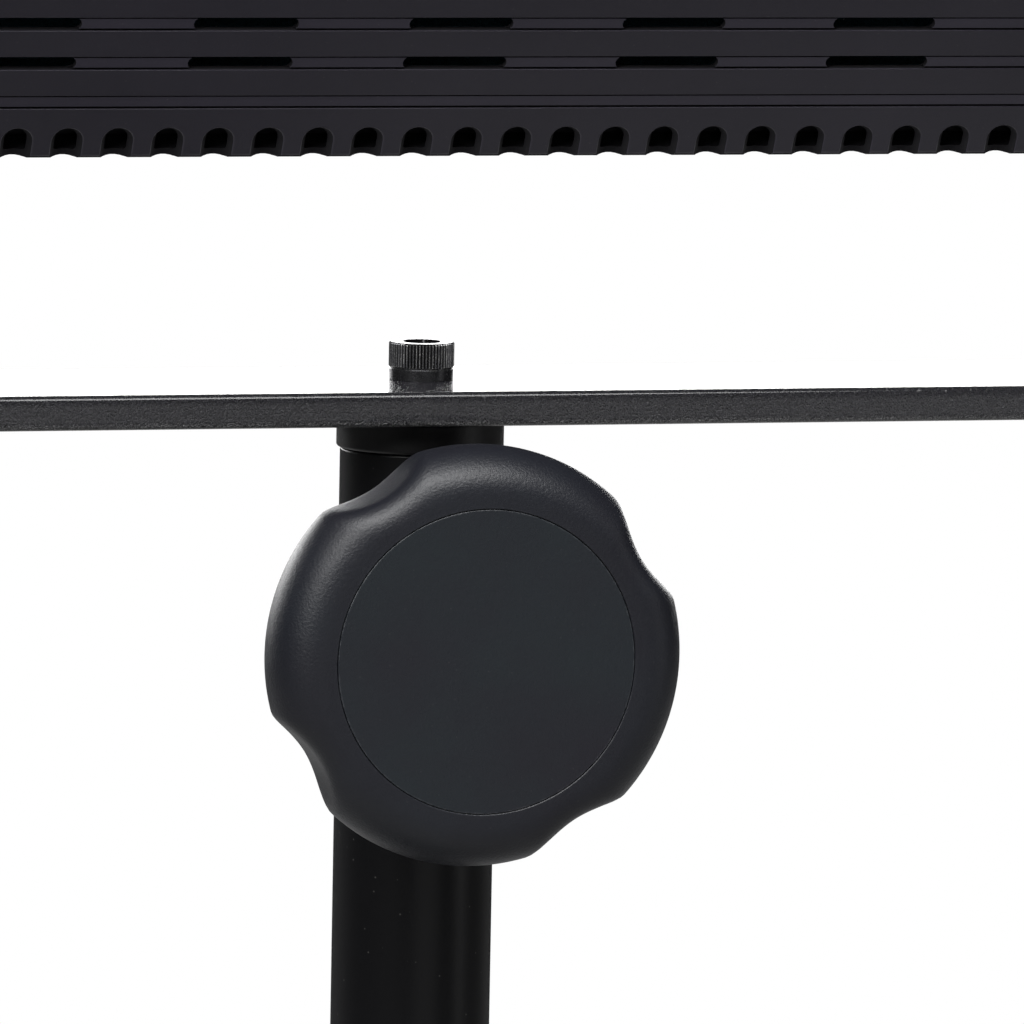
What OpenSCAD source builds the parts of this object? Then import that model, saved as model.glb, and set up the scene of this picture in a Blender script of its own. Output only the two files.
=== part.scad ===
// Conductor's music stand: a flat base, a telescopic round post with a clamp knob,
// a flat steel yoke bolted on the post's top and a tilting desk hung between its ears.
// Millimetres. Origin on the floor under the post, +Z up, +Y towards the musician.

/* [Base] */
// Width of the base plate
base_w = 360; // [320:10:420]
// Depth of the base plate
base_d = 340; // [300:10:380]
// Thickness of the base plate
base_t = 6; // [5:1:10]
// Height of the rubber feet
foot_h = 8; // [6:1:12]

/* [Post] */
// Outside diameter of the post tube
post_od = 25.4; // [25.4:0.1:28]
// Wall of the post tube
post_wall = 1.5; // [1.5:0.5:2]
// Height of the yoke's underside above the floor, with the post pushed right down
bar_z = 660; // [600:10:720]
// Height of the guide sleeve's collar
collar_h = 5; // [4:0.5:6]
// Outside diameter of the guide sleeve's collar
collar_d = 26.6; // [26.4:0.1:34]
// Length of the sliding inner tube
inner_len = 560; // [540:10:580]

/* [Clamp knob] */
// Diameter over the lobes of the clamp knob
knob_d = 66.2; // [55:0.1:66.2]
// Distance of the clamp knob's axis below the yoke
knob_drop = 34.1; // [34.1:0.1:45]
// Turn of the clamp knob's lobes
knob_phase = 31.5; // [0:0.5:90]

/* [Yoke] */
// Width of the yoke over its ears
yoke_w = 300; // [280:10:340]
// Width of the flat bar
bar_w = 40; // [40:1:44]
// Thickness of the flat bar with its textured coat
bar_t = 5.5; // [5:0.5:6]
// Height of the tilt axis above the bar's top face
pivot_h = 103.3; // [103:0.1:120]

/* [Desk] */
// Width of the desk
desk_w = 500; // [460:10:560]
// Height of the desk
desk_h = 340; // [320:10:380]
// Lean of the desk from upright
desk_lean = 30; // [0:5:60]
// Distance of the tilt axis above the desk's lower edge
pivot_up = 100; // [100:5:102]
// Depth of the ledge
ledge_d = 60; // [50:5:70]

/* [Hidden] */
$fn = 96;
eps = 0.02;

// Levels of the base and the post
plate_top = foot_h + base_t;
flange_t = 6;
neck_h = 30;
post_bottom = plate_top + 2;
post_top = bar_z - 0.4 - collar_h;
post_id = post_od - 2 * post_wall;
foot_inset = 34;
foot_x = base_w / 2 - foot_inset;
foot_y = base_d / 2 - foot_inset;
flange_pcd = 66;

// Telescope
inner_od = 19;
inner_wall = 1.5;
run_gap = 0.1;
sleeve_len = 60;
guide_len = 24;
inner_top = bar_z - 6;
inner_bottom = inner_top - inner_len;
plug_flange = 6 - 0.1;

// Clamp
knob_z = bar_z - knob_drop;
screw_d = 8;
screw_gap = 0.1;
boss_d = 18;
boss_out = 20;
hub_back = 22;
cap_front = 42.9;
pad_len = 3;
pad_gap = 0.05;

// Yoke and tilt axis
bar_top = bar_z + bar_t;
pivot_z = bar_top + pivot_h;
bend_r = 8;
ear_in = yoke_w / 2 - bar_t;
washer_t = 1.5;
lug_w = 16;
lug_out = ear_in - washer_t;
lug_in = lug_out - lug_w;
lug_r = 13;
tilt_knob_d = 40;

// Desk, in its own upright frame with the tilt axis as origin: y forward, z up
rear_y = 24;
cover_t = 1.2;
cover_d = 11.5;
sheet_t = 1.5;
front_y = rear_y + cover_d;
desk_z0 = -pivot_up;
desk_z1 = desk_z0 + desk_h;
edge_r = 1.5;
corner_r = 16;
rib_pitch = 7.7;
channel_h = 2.6;
channel_deep = 0.7;
first_channel = 11.6;
vent_rows = 6;
slot_pitch = 36.3;
slot_len = 17.7;
slot_shift = 21.05;
notch_pitch = 8.46;
notch_w = 5.1;
notch_h = 6.4;
notch_deep = 2;
notch_r = (pow(notch_w / 2, 2) + pow(notch_deep, 2)) / (2 * notch_deep);
rail_x = 122;
cover_screw_z = [desk_z0 + 75, (desk_z0 + desk_z1) / 2, desk_z1 - 75];

// ---- Shared shapes ----

// Rectangle centred on the origin with round corners
module round_rect(w, h, r) {
    square([w - 2 * r, h], center = true);
    square([w, h - 2 * r], center = true);
    for (x = [-1, 1], y = [-1, 1]) translate([x * (w / 2 - r), y * (h / 2 - r)]) circle(r);
}

// Ring with a bore
module ring(od, id, h) {
    difference() {
        cylinder(d = od, h = h);
        translate([0, 0, -1]) cylinder(d = id, h = h + 2);
    }
}

// Cap screw standing on z = 0 with its shank downwards
module cap_screw(d, shank) {
    difference() {
        union() {
            cylinder(d = 1.7 * d, h = d);
            translate([0, 0, -shank]) cylinder(d = d, h = shank + 1);
        }
        translate([0, 0, d / 2]) cylinder(d = 0.96 * d, h = d, $fn = 6);
    }
}

// Lobed knob along -y, from its hub's back face to its front face, with a seat for its cap
module lobed_knob(d, back, front, bore_d, bore_end, cap_d, phase) {
    depth = front - back;
    r = d / 2;
    scallop = 0.463 * r;
    rotate([90, 0, 0]) difference() {
        translate([0, 0, back]) rotate_extrude() polygon([
            [0, 0], [0.34 * r, 0], [0.36 * r, 0.22 * depth], [0.88 * r, 0.22 * depth],
            [0.96 * r, 0.33 * depth], [r, 0.6 * depth], [0.967 * r, 0.83 * depth],
            [0.89 * r, 0.95 * depth], [0.8 * r, depth], [0, depth]]);
        for (k = [0:3]) rotate([0, 0, phase + 90 * k])
            translate([r - 0.097 * r + scallop, 0, back - 1]) cylinder(r = scallop, h = depth + 2);
        translate([0, 0, back - 1]) cylinder(d = bore_d, h = bore_end - back + 1);
        translate([0, 0, front - 2]) cylinder(d = cap_d, h = 3);
    }
}

// Cover disc for a lobed knob
module knob_disc(d, front) {
    rotate([90, 0, 0]) translate([0, 0, front - 2]) cylinder(d = d, h = 2);
}

// Puts the desk's upright frame in its place and lean
module on_desk() {
    translate([0, 0, pivot_z]) rotate([desk_lean, 0, 0]) children();
}

// ---- Base ----

module base_plate() {
    color("#2e2e31") translate([0, 0, foot_h]) difference() {
        linear_extrude(base_t) round_rect(base_w, base_d, 40);
        for (k = [0:3]) rotate([0, 0, 45 + 90 * k])
            translate([flange_pcd / 2, 0, -1]) cylinder(d = 6.1, h = base_t + 2);
        for (x = [-1, 1], y = [-1, 1]) translate([x * foot_x, y * foot_y, -1])
            cylinder(d = 5.1, h = base_t + 2);
    }
}

module base_feet() {
    color("#141414") for (x = [-1, 1], y = [-1, 1]) translate([x * foot_x, y * foot_y, 0]) difference() {
        rotate_extrude() polygon([[0, 0], [16, 0], [17, 1], [15, foot_h], [0, foot_h]]);
        translate([0, 0, -1]) cylinder(d = 10.4, h = 4.4);
        cylinder(d = 5.2, h = foot_h + 1);
    }
}

module foot_screws() {
    color("#8b8d90") for (x = [-1, 1], y = [-1, 1]) translate([x * foot_x, y * foot_y, 0]) difference() {
        union() {
            translate([0, 0, 0.9]) cylinder(d = 9.5, h = 2.5);
            translate([0, 0, 3]) cylinder(d = 5, h = foot_h + base_t - 4);
        }
        translate([0, 0, 0.5]) cylinder(d = 3.4, h = 1.9, $fn = 6);
    }
}

module base_flange() {
    color("#2e2e31") translate([0, 0, plate_top]) difference() {
        union() {
            cylinder(d = 90, h = flange_t);
            cylinder(d = 34, h = neck_h);
        }
        translate([0, 0, 2]) cylinder(d = post_od + 0.1, h = neck_h);
        translate([0, 0, -1]) cylinder(d = 18, h = 4);
        for (k = [0:3]) rotate([0, 0, 45 + 90 * k])
            translate([flange_pcd / 2, 0, -1]) cylinder(d = 6.4, h = flange_t + 2);
        translate([0, -10, neck_h - 10]) rotate([90, 0, 0]) cylinder(d = 6, h = 10);
    }
}

module flange_screws() {
    color("#1c1c1e") for (k = [0:3]) rotate([0, 0, 45 + 90 * k])
        translate([flange_pcd / 2, 0, plate_top + flange_t]) cap_screw(6, flange_t + base_t - 1);
}

module grub_screw() {
    grub_y = -post_od / 2 - 0.05;
    color("#1c1c1e") translate([0, grub_y, plate_top + neck_h - 10]) rotate([90, 0, 0]) difference() {
        cylinder(d = 5.9, h = 4);
        translate([0, 0, 2]) cylinder(d = 3.3, h = 3, $fn = 6);
    }
}

// ---- Post ----

module post_tube() {
    color("#151517") difference() {
        translate([0, 0, post_bottom]) ring(post_od, post_id, post_top - post_bottom);
        translate([0, 0, knob_z]) rotate([90, 0, 0]) cylinder(d = screw_d + 2 * screw_gap, h = 20);
    }
}

module clamp_boss() {
    color("#151517") translate([0, 0, knob_z]) difference() {
        rotate([90, 0, 0]) cylinder(d = boss_d, h = boss_out);
        translate([0, 0, -boss_d]) cylinder(d = post_od + 0.02, h = 2 * boss_d);
        rotate([90, 0, 0]) cylinder(d = screw_d + 2 * screw_gap, h = boss_out + 1);
    }
}

module guide_sleeve() {
    color("#101011") difference() {
        union() {
            translate([0, 0, post_top]) cylinder(d = collar_d, h = collar_h);
            translate([0, 0, post_top - sleeve_len]) cylinder(d = post_id - 0.04, h = sleeve_len + 1);
        }
        translate([0, 0, post_top - sleeve_len - 1])
            cylinder(d = inner_od + 2 * run_gap, h = sleeve_len + collar_h + 2);
        translate([0, 0, knob_z]) rotate([90, 0, 0]) cylinder(d = screw_d + 2 * screw_gap, h = 20);
    }
}

// ---- Sliding column ----

module inner_tube() {
    color("#3a3b3e") translate([0, 0, inner_bottom]) ring(inner_od, inner_od - 2 * inner_wall, inner_len);
}

module column_plug() {
    color("#77787b") difference() {
        union() {
            translate([0, 0, inner_top]) cylinder(d = inner_od, h = plug_flange);
            translate([0, 0, inner_top - 24]) cylinder(d = inner_od - 2 * inner_wall - 0.1, h = 25);
        }
        translate([0, 0, inner_top - 25]) cylinder(d = 6.2, h = 40);
    }
}

module column_guide() {
    color("#101011") translate([0, 0, inner_bottom - 3]) difference() {
        union() {
            cylinder(d = post_id - 2 * run_gap, h = 3);
            cylinder(d = inner_od - 2 * inner_wall - 0.1, h = guide_len);
        }
        translate([0, 0, -1]) cylinder(d = 8, h = guide_len + 2);
    }
}

// ---- Height clamp ----

module clamp_screw() {
    screw_end = inner_od / 2 + pad_gap + pad_len;
    color("#77787b") translate([0, 0, knob_z]) rotate([90, 0, 0])
        translate([0, 0, screw_end]) cylinder(d = screw_d, h = cap_front - 6 - screw_end);
}

module clamp_pad() {
    color("#b08d4a") translate([0, 0, knob_z]) rotate([90, 0, 0])
        translate([0, 0, inner_od / 2 + pad_gap]) cylinder(d = 7, h = pad_len);
}

module clamp_knob() {
    color("#2b2c2f") translate([0, 0, knob_z])
        lobed_knob(knob_d, hub_back, cap_front, screw_d + 0.02, cap_front - 5.5, 47.8, knob_phase);
}

module clamp_knob_cap() {
    color("#2b2d30") translate([0, 0, knob_z]) knob_disc(47.6, cap_front);
}

// ---- Yoke ----

// One end of the bar: bend and ear, at +x
module yoke_end() {
    translate([yoke_w / 2 - bend_r - bar_t, 0, bar_top + bend_r]) rotate([90, 0, 0])
        translate([0, 0, -bar_w / 2]) intersection() {
            ring(2 * (bend_r + bar_t), 2 * bend_r, bar_w);
            translate([0, -bend_r - bar_t, 0]) cube([bend_r + bar_t, bend_r + bar_t, bar_w]);
        }
    translate([ear_in, 0, 0]) difference() {
        union() {
            translate([0, -bar_w / 2, bar_top + bend_r]) cube([bar_t, bar_w, pivot_h - bend_r]);
            translate([0, 0, pivot_z]) rotate([0, 90, 0]) cylinder(d = bar_w, h = bar_t);
        }
        translate([-1, 0, pivot_z]) rotate([0, 90, 0]) cylinder(d = screw_d + 2 * screw_gap, h = bar_t + 2);
    }
}

module yoke_bar() {
    flat = yoke_w - 2 * (bend_r + bar_t);
    color("#3a3a3f") {
        difference() {
            translate([-flat / 2, -bar_w / 2, bar_z]) cube([flat, bar_w, bar_t]);
            translate([0, 0, bar_z - 1]) cylinder(d = 6.4, h = bar_t + 2);
        }
        yoke_end();
        mirror([1, 0, 0]) yoke_end();
    }
}

module yoke_screw() {
    color("#1a1a1b") translate([0, 0, bar_top]) cap_screw(6, 24);
}

module ear_washer(side) {
    color("#101011") translate([side * (yoke_w / 2 + 0.02), 0, pivot_z]) rotate([0, side * 90, 0])
        ring(24, screw_d + 0.4, washer_t);
}

// ---- Desk ----

// Side profile of the rear cover: a channel with ribs on its back
module cover_profile() {
    difference() {
        union() {
            translate([rear_y + edge_r, desk_z0]) square([cover_d - edge_r, desk_h]);
            translate([rear_y, desk_z0 + edge_r]) square([edge_r, desk_h - 2 * edge_r]);
            for (z = [desk_z0 + edge_r, desk_z1 - edge_r]) translate([rear_y + edge_r, z]) circle(edge_r);
        }
        translate([rear_y + cover_t, desk_z0 + cover_t]) square([cover_d, desk_h - 2 * cover_t]);
        for (k = [0:vent_rows], end = [0, 1]) translate([rear_y - 1,
            (end == 0 ? desk_z0 + first_channel + k * rib_pitch
                : desk_z1 - first_channel - k * rib_pitch) - channel_h / 2])
            square([1 + channel_deep, channel_h]);
    }
}

// Vent slots in every channel but the outermost one, and round-ended flutes along both long edges
// that are deeper than the wall, so each opens into the cover
module cover_cuts() {
    slots = floor((desk_w - 60) / slot_pitch / 2);
    notches = floor((desk_w - 24) / notch_pitch / 2);
    translate([0, rear_y + cover_t + 0.5, 0]) rotate([90, 0, 0]) linear_extrude(cover_t + 1)
        for (k = [1:vent_rows], i = [-slots:slots], end = [0, 1]) translate([i * slot_pitch + slot_shift,
            end == 0 ? desk_z0 + first_channel + k * rib_pitch
                : desk_z1 - first_channel - k * rib_pitch])
            round_slot(slot_len, channel_h);
    for (i = [-notches:notches], end = [0, 1]) translate([i * notch_pitch, 0,
        end == 0 ? desk_z0 : desk_z1]) mirror([0, 0, end])
        translate([0, rear_y + notch_deep - notch_r, -1]) {
            cylinder(r = notch_r, h = notch_h - notch_w / 2 + 1, $fn = 32);
            translate([0, 0, notch_h - notch_w / 2 + 1]) sphere(r = notch_r, $fn = 32);
        }
}

module round_slot(l, h) {
    square([l - h, h], center = true);
    for (s = [-1, 1]) translate([s * (l - h) / 2, 0]) circle(d = h);
}

module desk_rear_cover() {
    color("#2c2b30") on_desk() difference() {
        union() {
            translate([-desk_w / 2, 0, 0]) rotate([90, 0, 90]) linear_extrude(desk_w) cover_profile();
            for (side = [-1, 1]) translate([side * (desk_w / 2 - cover_t / 2), 0, 0])
                rotate([90, 0, 90]) translate([0, 0, -cover_t / 2]) linear_extrude(cover_t)
                translate([rear_y + 1, desk_z0 + 1]) square([cover_d - 1, desk_h - 2]);
        }
        cover_cuts();
        for (side = [-1, 1], z = [-19, 19]) translate([side * rail_x, rear_y + 5, z])
            rotate([90, 0, 0]) cylinder(d = 5.4, h = 6);
        for (side = [-1, 1], z = cover_screw_z) translate([side * (desk_w / 2 - 14), rear_y + 5, z])
            rotate([90, 0, 0]) cylinder(d = 3.2, h = 6);
    }
}

module desk_front_panel() {
    inset = cover_t + 0.3;
    color("#1d1d20") on_desk() {
        translate([-desk_w / 2, front_y, desk_z0]) cube([desk_w, sheet_t, desk_h]);
        difference() {
            translate([-desk_w / 2 + inset, front_y - 6, desk_z0 + inset])
                cube([desk_w - 2 * inset, 6 + eps, desk_h - 2 * inset]);
            translate([-desk_w / 2 + inset + sheet_t, front_y - 7, desk_z0 + inset + sheet_t])
                cube([desk_w - 2 * (inset + sheet_t), 8, desk_h - 2 * (inset + sheet_t)]);
        }
    }
}

module desk_liner() {
    color("#10201f") on_desk() difference() {
        translate([-desk_w / 2 + 5, front_y - 1.5, desk_z0 + 5]) cube([desk_w - 10, 1.5, desk_h - 10]);
        for (side = [-1, 1]) translate([side * rail_x - 12.3, rear_y, desk_z0 + 14.7])
            cube([24.6, 12, desk_h - 29.4]);
    }
}

module desk_rail(side) {
    color("#77787b") on_desk() difference() {
        translate([side * rail_x - 12, rear_y + cover_t + 0.02, desk_z0 + 15])
            cube([24, cover_d - cover_t - 0.04, desk_h - 30]);
        translate([side * rail_x - 10.5, rear_y + cover_t + 3, desk_z0 + 14])
            cube([21, 12, desk_h - 28]);
        for (z = [-19, 19]) translate([side * rail_x, rear_y + 8, z])
            rotate([90, 0, 0]) cylinder(d = 5.1, h = 8);
    }
}

module desk_ledge() {
    y0 = front_y + sheet_t;
    y1 = y0 + ledge_d;
    color("#1d1d20") on_desk() difference() {
        translate([-desk_w / 2 + 2, 0, 0]) rotate([90, 0, 90]) linear_extrude(desk_w - 4) {
            translate([y0, desk_z0 + 2]) square([sheet_t, 28]);
            translate([y0 + 2, desk_z0]) square([ledge_d - 4, sheet_t]);
            translate([y1 - sheet_t, desk_z0 + 2]) square([sheet_t, 14]);
            translate([y0 + 2, desk_z0 + 2]) intersection() {
                difference() {
                    circle(2);
                    circle(0.5);
                }
                translate([-2, -2]) square(2);
            }
            translate([y1 - 2, desk_z0 + 2]) intersection() {
                difference() {
                    circle(2);
                    circle(0.5);
                }
                translate([0, -2]) square(2);
            }
        }
        for (i = [-2:2]) translate([i * 110, y0 + 5, desk_z0 + 20])
            rotate([90, 0, 0]) cylinder(d = 4.2, h = 8);
    }
}

// Plate that closes one end of the ledge
module ledge_end(side) {
    y0 = front_y + sheet_t;
    color("#101011") on_desk() translate([side * (desk_w / 2 - 1) - 0.98, 0, 0])
        rotate([90, 0, 90]) linear_extrude(1.96) polygon([[y0, desk_z0], [y0 + ledge_d - 4, desk_z0],
            [y0 + ledge_d, desk_z0 + 4], [y0 + ledge_d, desk_z0 + 15],
            [y0 + ledge_d - 3, desk_z0 + 16], [y0 + 8, desk_z0 + 30], [y0, desk_z0 + 30]]);
}

module ledge_mat() {
    color("#0f0f10") on_desk()
        translate([-desk_w / 2 + 8, front_y + sheet_t + 4, desk_z0 + sheet_t])
        cube([desk_w - 16, ledge_d - 8, 1]);
}

module ledge_screws() {
    color("#1c1c1e") on_desk() for (i = [-2:2])
        translate([i * 110, front_y + 2 * sheet_t, desk_z0 + 20]) rotate([-90, 0, 0]) difference() {
            union() {
                cylinder(d = 7.5, h = 2);
                translate([0, 0, -sheet_t]) cylinder(d = 4, h = 2);
            }
            translate([0, 0, 1]) cylinder(d = 2.9, h = 2, $fn = 6);
        }
}

// Screws down both sides of the cover, into the front panel's rim
module cover_screws() {
    color("#1c1c1e") on_desk() for (x = [-1, 1], z = cover_screw_z)
        translate([x * (desk_w / 2 - 14), rear_y, z]) rotate([90, 0, 0]) difference() {
            union() {
                cylinder(d = 6, h = 1.6);
                translate([0, 0, -cover_t - 3]) cylinder(d = 3, h = cover_t + 4);
            }
            translate([0, 0, 0.6]) cylinder(d = 2.6, h = 2, $fn = 6);
        }
}

// Hinge lug: an eye round the tilt axis on a foot that is screwed to the cover
module tilt_lug(side) {
    color("#151517") on_desk() difference() {
        union() {
            translate([side * (lug_in + lug_w / 2), 0, 0]) rotate([90, 0, 90])
                translate([0, 0, -lug_w / 2]) linear_extrude(lug_w) {
                circle(lug_r);
                translate([0, -lug_r]) square([rear_y, 2 * lug_r]);
            }
            translate([side * (lug_out - 16), rear_y - 2.5, 0]) cube([32, 5, 60], center = true);
        }
        rotate([0, side * 90, 0]) translate([0, 0, lug_in - 1])
            cylinder(d = screw_d + 2 * screw_gap, h = lug_w + 2);
        for (z = [-19, 19]) translate([side * rail_x, rear_y + 1, z])
            rotate([90, 0, 0]) cylinder(d = 5.4, h = 8);
    }
}

module lug_screws() {
    color("#1c1c1e") on_desk() for (side = [-1, 1], z = [-19, 19])
        translate([side * rail_x, rear_y - 5, z]) rotate([90, 0, 0]) cap_screw(5, 9);
}

// ---- Tilt clamps ----

module friction_washer(side) {
    color("#101011") translate([side * (lug_out + 0.02), 0, pivot_z]) rotate([0, side * 90, 0])
        ring(24, screw_d + 0.4, washer_t - 0.05);
}

module tilt_stud(side) {
    color("#77787b") translate([side * (lug_in + 2), 0, pivot_z]) rotate([0, side * 90, 0])
        cylinder(d = screw_d, h = yoke_w / 2 + washer_t + 12.3 - lug_in - 2);
}

module tilt_knob(side) {
    back = yoke_w / 2 + washer_t + 0.3;
    color("#2b2c2f") translate([0, 0, pivot_z]) rotate([0, 0, side * 90])
        lobed_knob(tilt_knob_d, back, back + 16, screw_d + 0.02, back + 12.5, 28.6, 45);
}

module tilt_knob_cap(side) {
    color("#2b2d30") translate([0, 0, pivot_z]) rotate([0, 0, side * 90])
        knob_disc(28.4, yoke_w / 2 + washer_t + 0.3 + 16);
}

// ---- Nodes ----

base_plate();
base_feet();
foot_screws();
base_flange();
flange_screws();
grub_screw();
post_tube();
clamp_boss();
guide_sleeve();
inner_tube();
column_plug();
column_guide();
clamp_screw();
clamp_pad();
clamp_knob();
clamp_knob_cap();
yoke_bar();
yoke_screw();
ear_washer(-1);  // ear_washer_left
ear_washer(1);  // ear_washer_right
desk_rear_cover();
desk_front_panel();
desk_liner();
desk_rail(-1);  // desk_rail_left
desk_rail(1);  // desk_rail_right
desk_ledge();
ledge_end(-1);  // ledge_end_left
ledge_end(1);  // ledge_end_right
ledge_mat();
ledge_screws();
cover_screws();
tilt_lug(-1);  // tilt_lug_left
tilt_lug(1);  // tilt_lug_right
lug_screws();
friction_washer(-1);  // friction_washer_left
friction_washer(1);  // friction_washer_right
tilt_stud(-1);  // tilt_stud_left
tilt_stud(1);  // tilt_stud_right
tilt_knob(-1);  // tilt_knob_left
tilt_knob(1);  // tilt_knob_right
tilt_knob_cap(-1);  // tilt_knob_cap_left
tilt_knob_cap(1);  // tilt_knob_cap_right
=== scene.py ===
# %% [markdown]
# # A music stand, dressed in Blender
# The frame of the stand comes from its CAD model: a weighted base, a telescopic post, a lobed clamp
# knob, a flat-bar yoke and a tilting desk. This lesson gives every part the shape and the surface that
# the real one has, and leaves each part on the body that it moves with.
#
# The first cell loads the frame. Nothing else is read from disk, and the CAD objects are never moved.

# %% Load the frame
import math

import bmesh
import bpy
import numpy as np
from mathutils import Matrix, Vector
from mathutils.geometry import tessellate_polygon


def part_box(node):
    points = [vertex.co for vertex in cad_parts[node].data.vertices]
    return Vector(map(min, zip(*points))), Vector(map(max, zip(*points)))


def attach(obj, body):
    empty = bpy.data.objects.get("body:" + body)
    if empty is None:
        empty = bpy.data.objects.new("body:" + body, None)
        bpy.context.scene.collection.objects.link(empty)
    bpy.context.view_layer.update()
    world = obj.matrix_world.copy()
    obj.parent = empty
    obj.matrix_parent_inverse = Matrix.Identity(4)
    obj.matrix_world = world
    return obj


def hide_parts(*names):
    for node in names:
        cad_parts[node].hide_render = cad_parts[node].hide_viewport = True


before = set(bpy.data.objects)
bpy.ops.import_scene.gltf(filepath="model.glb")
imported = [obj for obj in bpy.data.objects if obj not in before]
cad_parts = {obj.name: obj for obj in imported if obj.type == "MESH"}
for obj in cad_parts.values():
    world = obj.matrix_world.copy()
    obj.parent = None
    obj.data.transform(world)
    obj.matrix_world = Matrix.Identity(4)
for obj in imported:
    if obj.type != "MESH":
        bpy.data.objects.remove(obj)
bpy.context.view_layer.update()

MM = 0.001
QUARTER = math.radians(90)

# %% [markdown]
# ## Where things are
# Every position comes from the frame. The yoke's box gives the height of the bar and of the tilt axis,
# because the ears end in half circles round that axis. The desk leans, so its own sizes are read in
# upright desk coordinates: the tilt axis is the origin, y goes into the desk and z goes up its back.

# %% Measure the frame
DESK_LEAN = math.radians(30)
BAR_T = 5.5 * MM

yoke_lo, yoke_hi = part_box("yoke_bar")
bar_w = yoke_hi.y - yoke_lo.y
bar_z = yoke_lo.z
bar_top = bar_z + BAR_T
pivot = Vector((0, 0, yoke_hi.z - bar_w / 2))
desk_place = Matrix.Translation(pivot) @ Matrix.Rotation(DESK_LEAN, 4, "X")


def desk_box(node):
    """Lowest and highest corner of a CAD node in upright desk coordinates."""
    back = desk_place.inverted()
    points = np.array([back @ v.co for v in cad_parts[node].data.vertices])
    return Vector(points.min(0)), Vector(points.max(0))


cover_lo, cover_hi = desk_box("desk_rear_cover")
print("bar at", round(bar_z, 4), "tilt axis at", round(pivot.z, 4), "cover from", cover_lo, "to", cover_hi)

# %% [markdown]
# ## Small makers for meshes
# All sizes are given in millimetres and become metres when the mesh is made. A turned part, such as a
# collar, is a profile spun round an axis. A flat part, such as the base plate, is an outline with
# thickness. Real edges are never perfectly sharp, so both makers round them: a rounded edge is what
# catches a line of light. A guard point on each side of an arc keeps the flat faces flat when the mesh
# is shaded smooth.

# %% Object from a mesh
MERGED, SLIVER = 2e-7, 1e-7


def new_object(name, verts, faces, place=Matrix(), sharp=40):
    """A closed mesh object with outward normals, its place in its mesh."""
    mesh = bpy.data.meshes.new(name)
    mesh.from_pydata([tuple(place @ (Vector(v) * MM)) for v in verts], [], faces)
    bm = bmesh.new()
    bm.from_mesh(mesh)
    bmesh.ops.remove_doubles(bm, verts=bm.verts, dist=MERGED)
    bmesh.ops.dissolve_degenerate(bm, edges=bm.edges, dist=SLIVER)
    bmesh.ops.recalc_face_normals(bm, faces=bm.faces)
    for face in bm.faces:
        face.smooth = True
    bm.to_mesh(mesh)
    bm.free()
    mesh.set_sharp_from_angle(angle=math.radians(sharp))
    obj = bpy.data.objects.new(name, mesh)
    bpy.context.scene.collection.objects.link(obj)
    return obj


def dress(obj, body, material, slot, *replaced):
    """Gives a piece its material and its body, and hides the CAD nodes that it stands for. The slot is not
    used.
    """
    obj.data.materials.clear()
    obj.data.materials.append(material)
    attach(obj, body)
    if replaced:
        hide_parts(*replaced)
    print(obj.name, len(obj.data.polygons), "faces")
    return obj


# %% Rounded profiles and turned parts
def soften(points, radii, steps=4, closed=True):
    """The outline with each corner rounded by its own radius. An open one keeps its two ends."""
    guard = 0.04
    count = len(points)
    out = []
    for i, here in enumerate(points):
        ends = not closed and i in (0, count - 1)
        if ends or radii[i] == 0:
            out.append(tuple(here))
            continue
        p = Vector(here)
        to_last = (Vector(points[i - 1]) - p).normalized()
        to_next = (Vector(points[(i + 1) % count]) - p).normalized()
        half = to_last.angle(to_next) / 2
        reach = radii[i] / math.tan(half)
        centre = p + (to_last + to_next).normalized() * (radii[i] / math.sin(half))
        start, end = p + to_last * reach - centre, p + to_next * reach - centre
        turn = start.angle_signed(end)
        out.append(tuple(p + to_last * (reach + guard)))
        for k in range(steps + 1):
            a = -turn * k / steps
            c, s = math.cos(a), math.sin(a)
            out.append((centre.x + start.x * c - start.y * s, centre.y + start.x * s + start.y * c))
        out.append(tuple(p + to_next * (reach + guard)))
    return out


def round_axis(columns, rows, closed=True):
    """Quads between neighbouring columns of points that stand round an axis."""
    faces = []
    for k in range(columns):
        m = (k + 1) % columns
        for i in range(rows if closed else rows - 1):
            j = (i + 1) % rows
            faces.append((k * rows + i, m * rows + i, m * rows + j, k * rows + j))
    return faces


def turned(name, profile, place=Matrix(), segments=96):
    """Spins (radius, height) pairs round z. A profile that starts and ends on the axis stays open there."""
    verts = []
    on_axis = profile[0][0] == 0 and profile[-1][0] == 0
    for k in range(segments):
        a = 2 * math.pi * k / segments
        verts += [(r * math.cos(a), r * math.sin(a), h) for r, h in profile]
    return new_object(name, verts, round_axis(segments, len(profile), closed=not on_axis), place)


# %% Flat parts with rounded edges
def between_loops(first, count, loops):
    """Quads between loops of count points each, whose first point is vertex first."""
    faces = []
    for row in range(loops - 1):
        a, b = first + row * count, first + (row + 1) * count
        faces += [(a + k, a + (k + 1) % count, b + (k + 1) % count, b + k) for k in range(count)]
    return faces


def capped_loops(count, loops):
    """Quads between loops, with one face over the first loop and one over the last."""
    last = (loops - 1) * count
    caps = [tuple(range(count)), tuple(reversed(range(last, last + count)))]
    return between_loops(0, count, loops) + caps


def circle(x, y, r, count=32):
    """A round hole's outline, as a function of how far it opens out from its edge."""
    def loop(inset):
        q = r + inset
        return [(x + q * math.cos(2 * math.pi * k / count), y + q * math.sin(2 * math.pi * k / count))
                for k in range(count)]
    return loop


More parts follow.
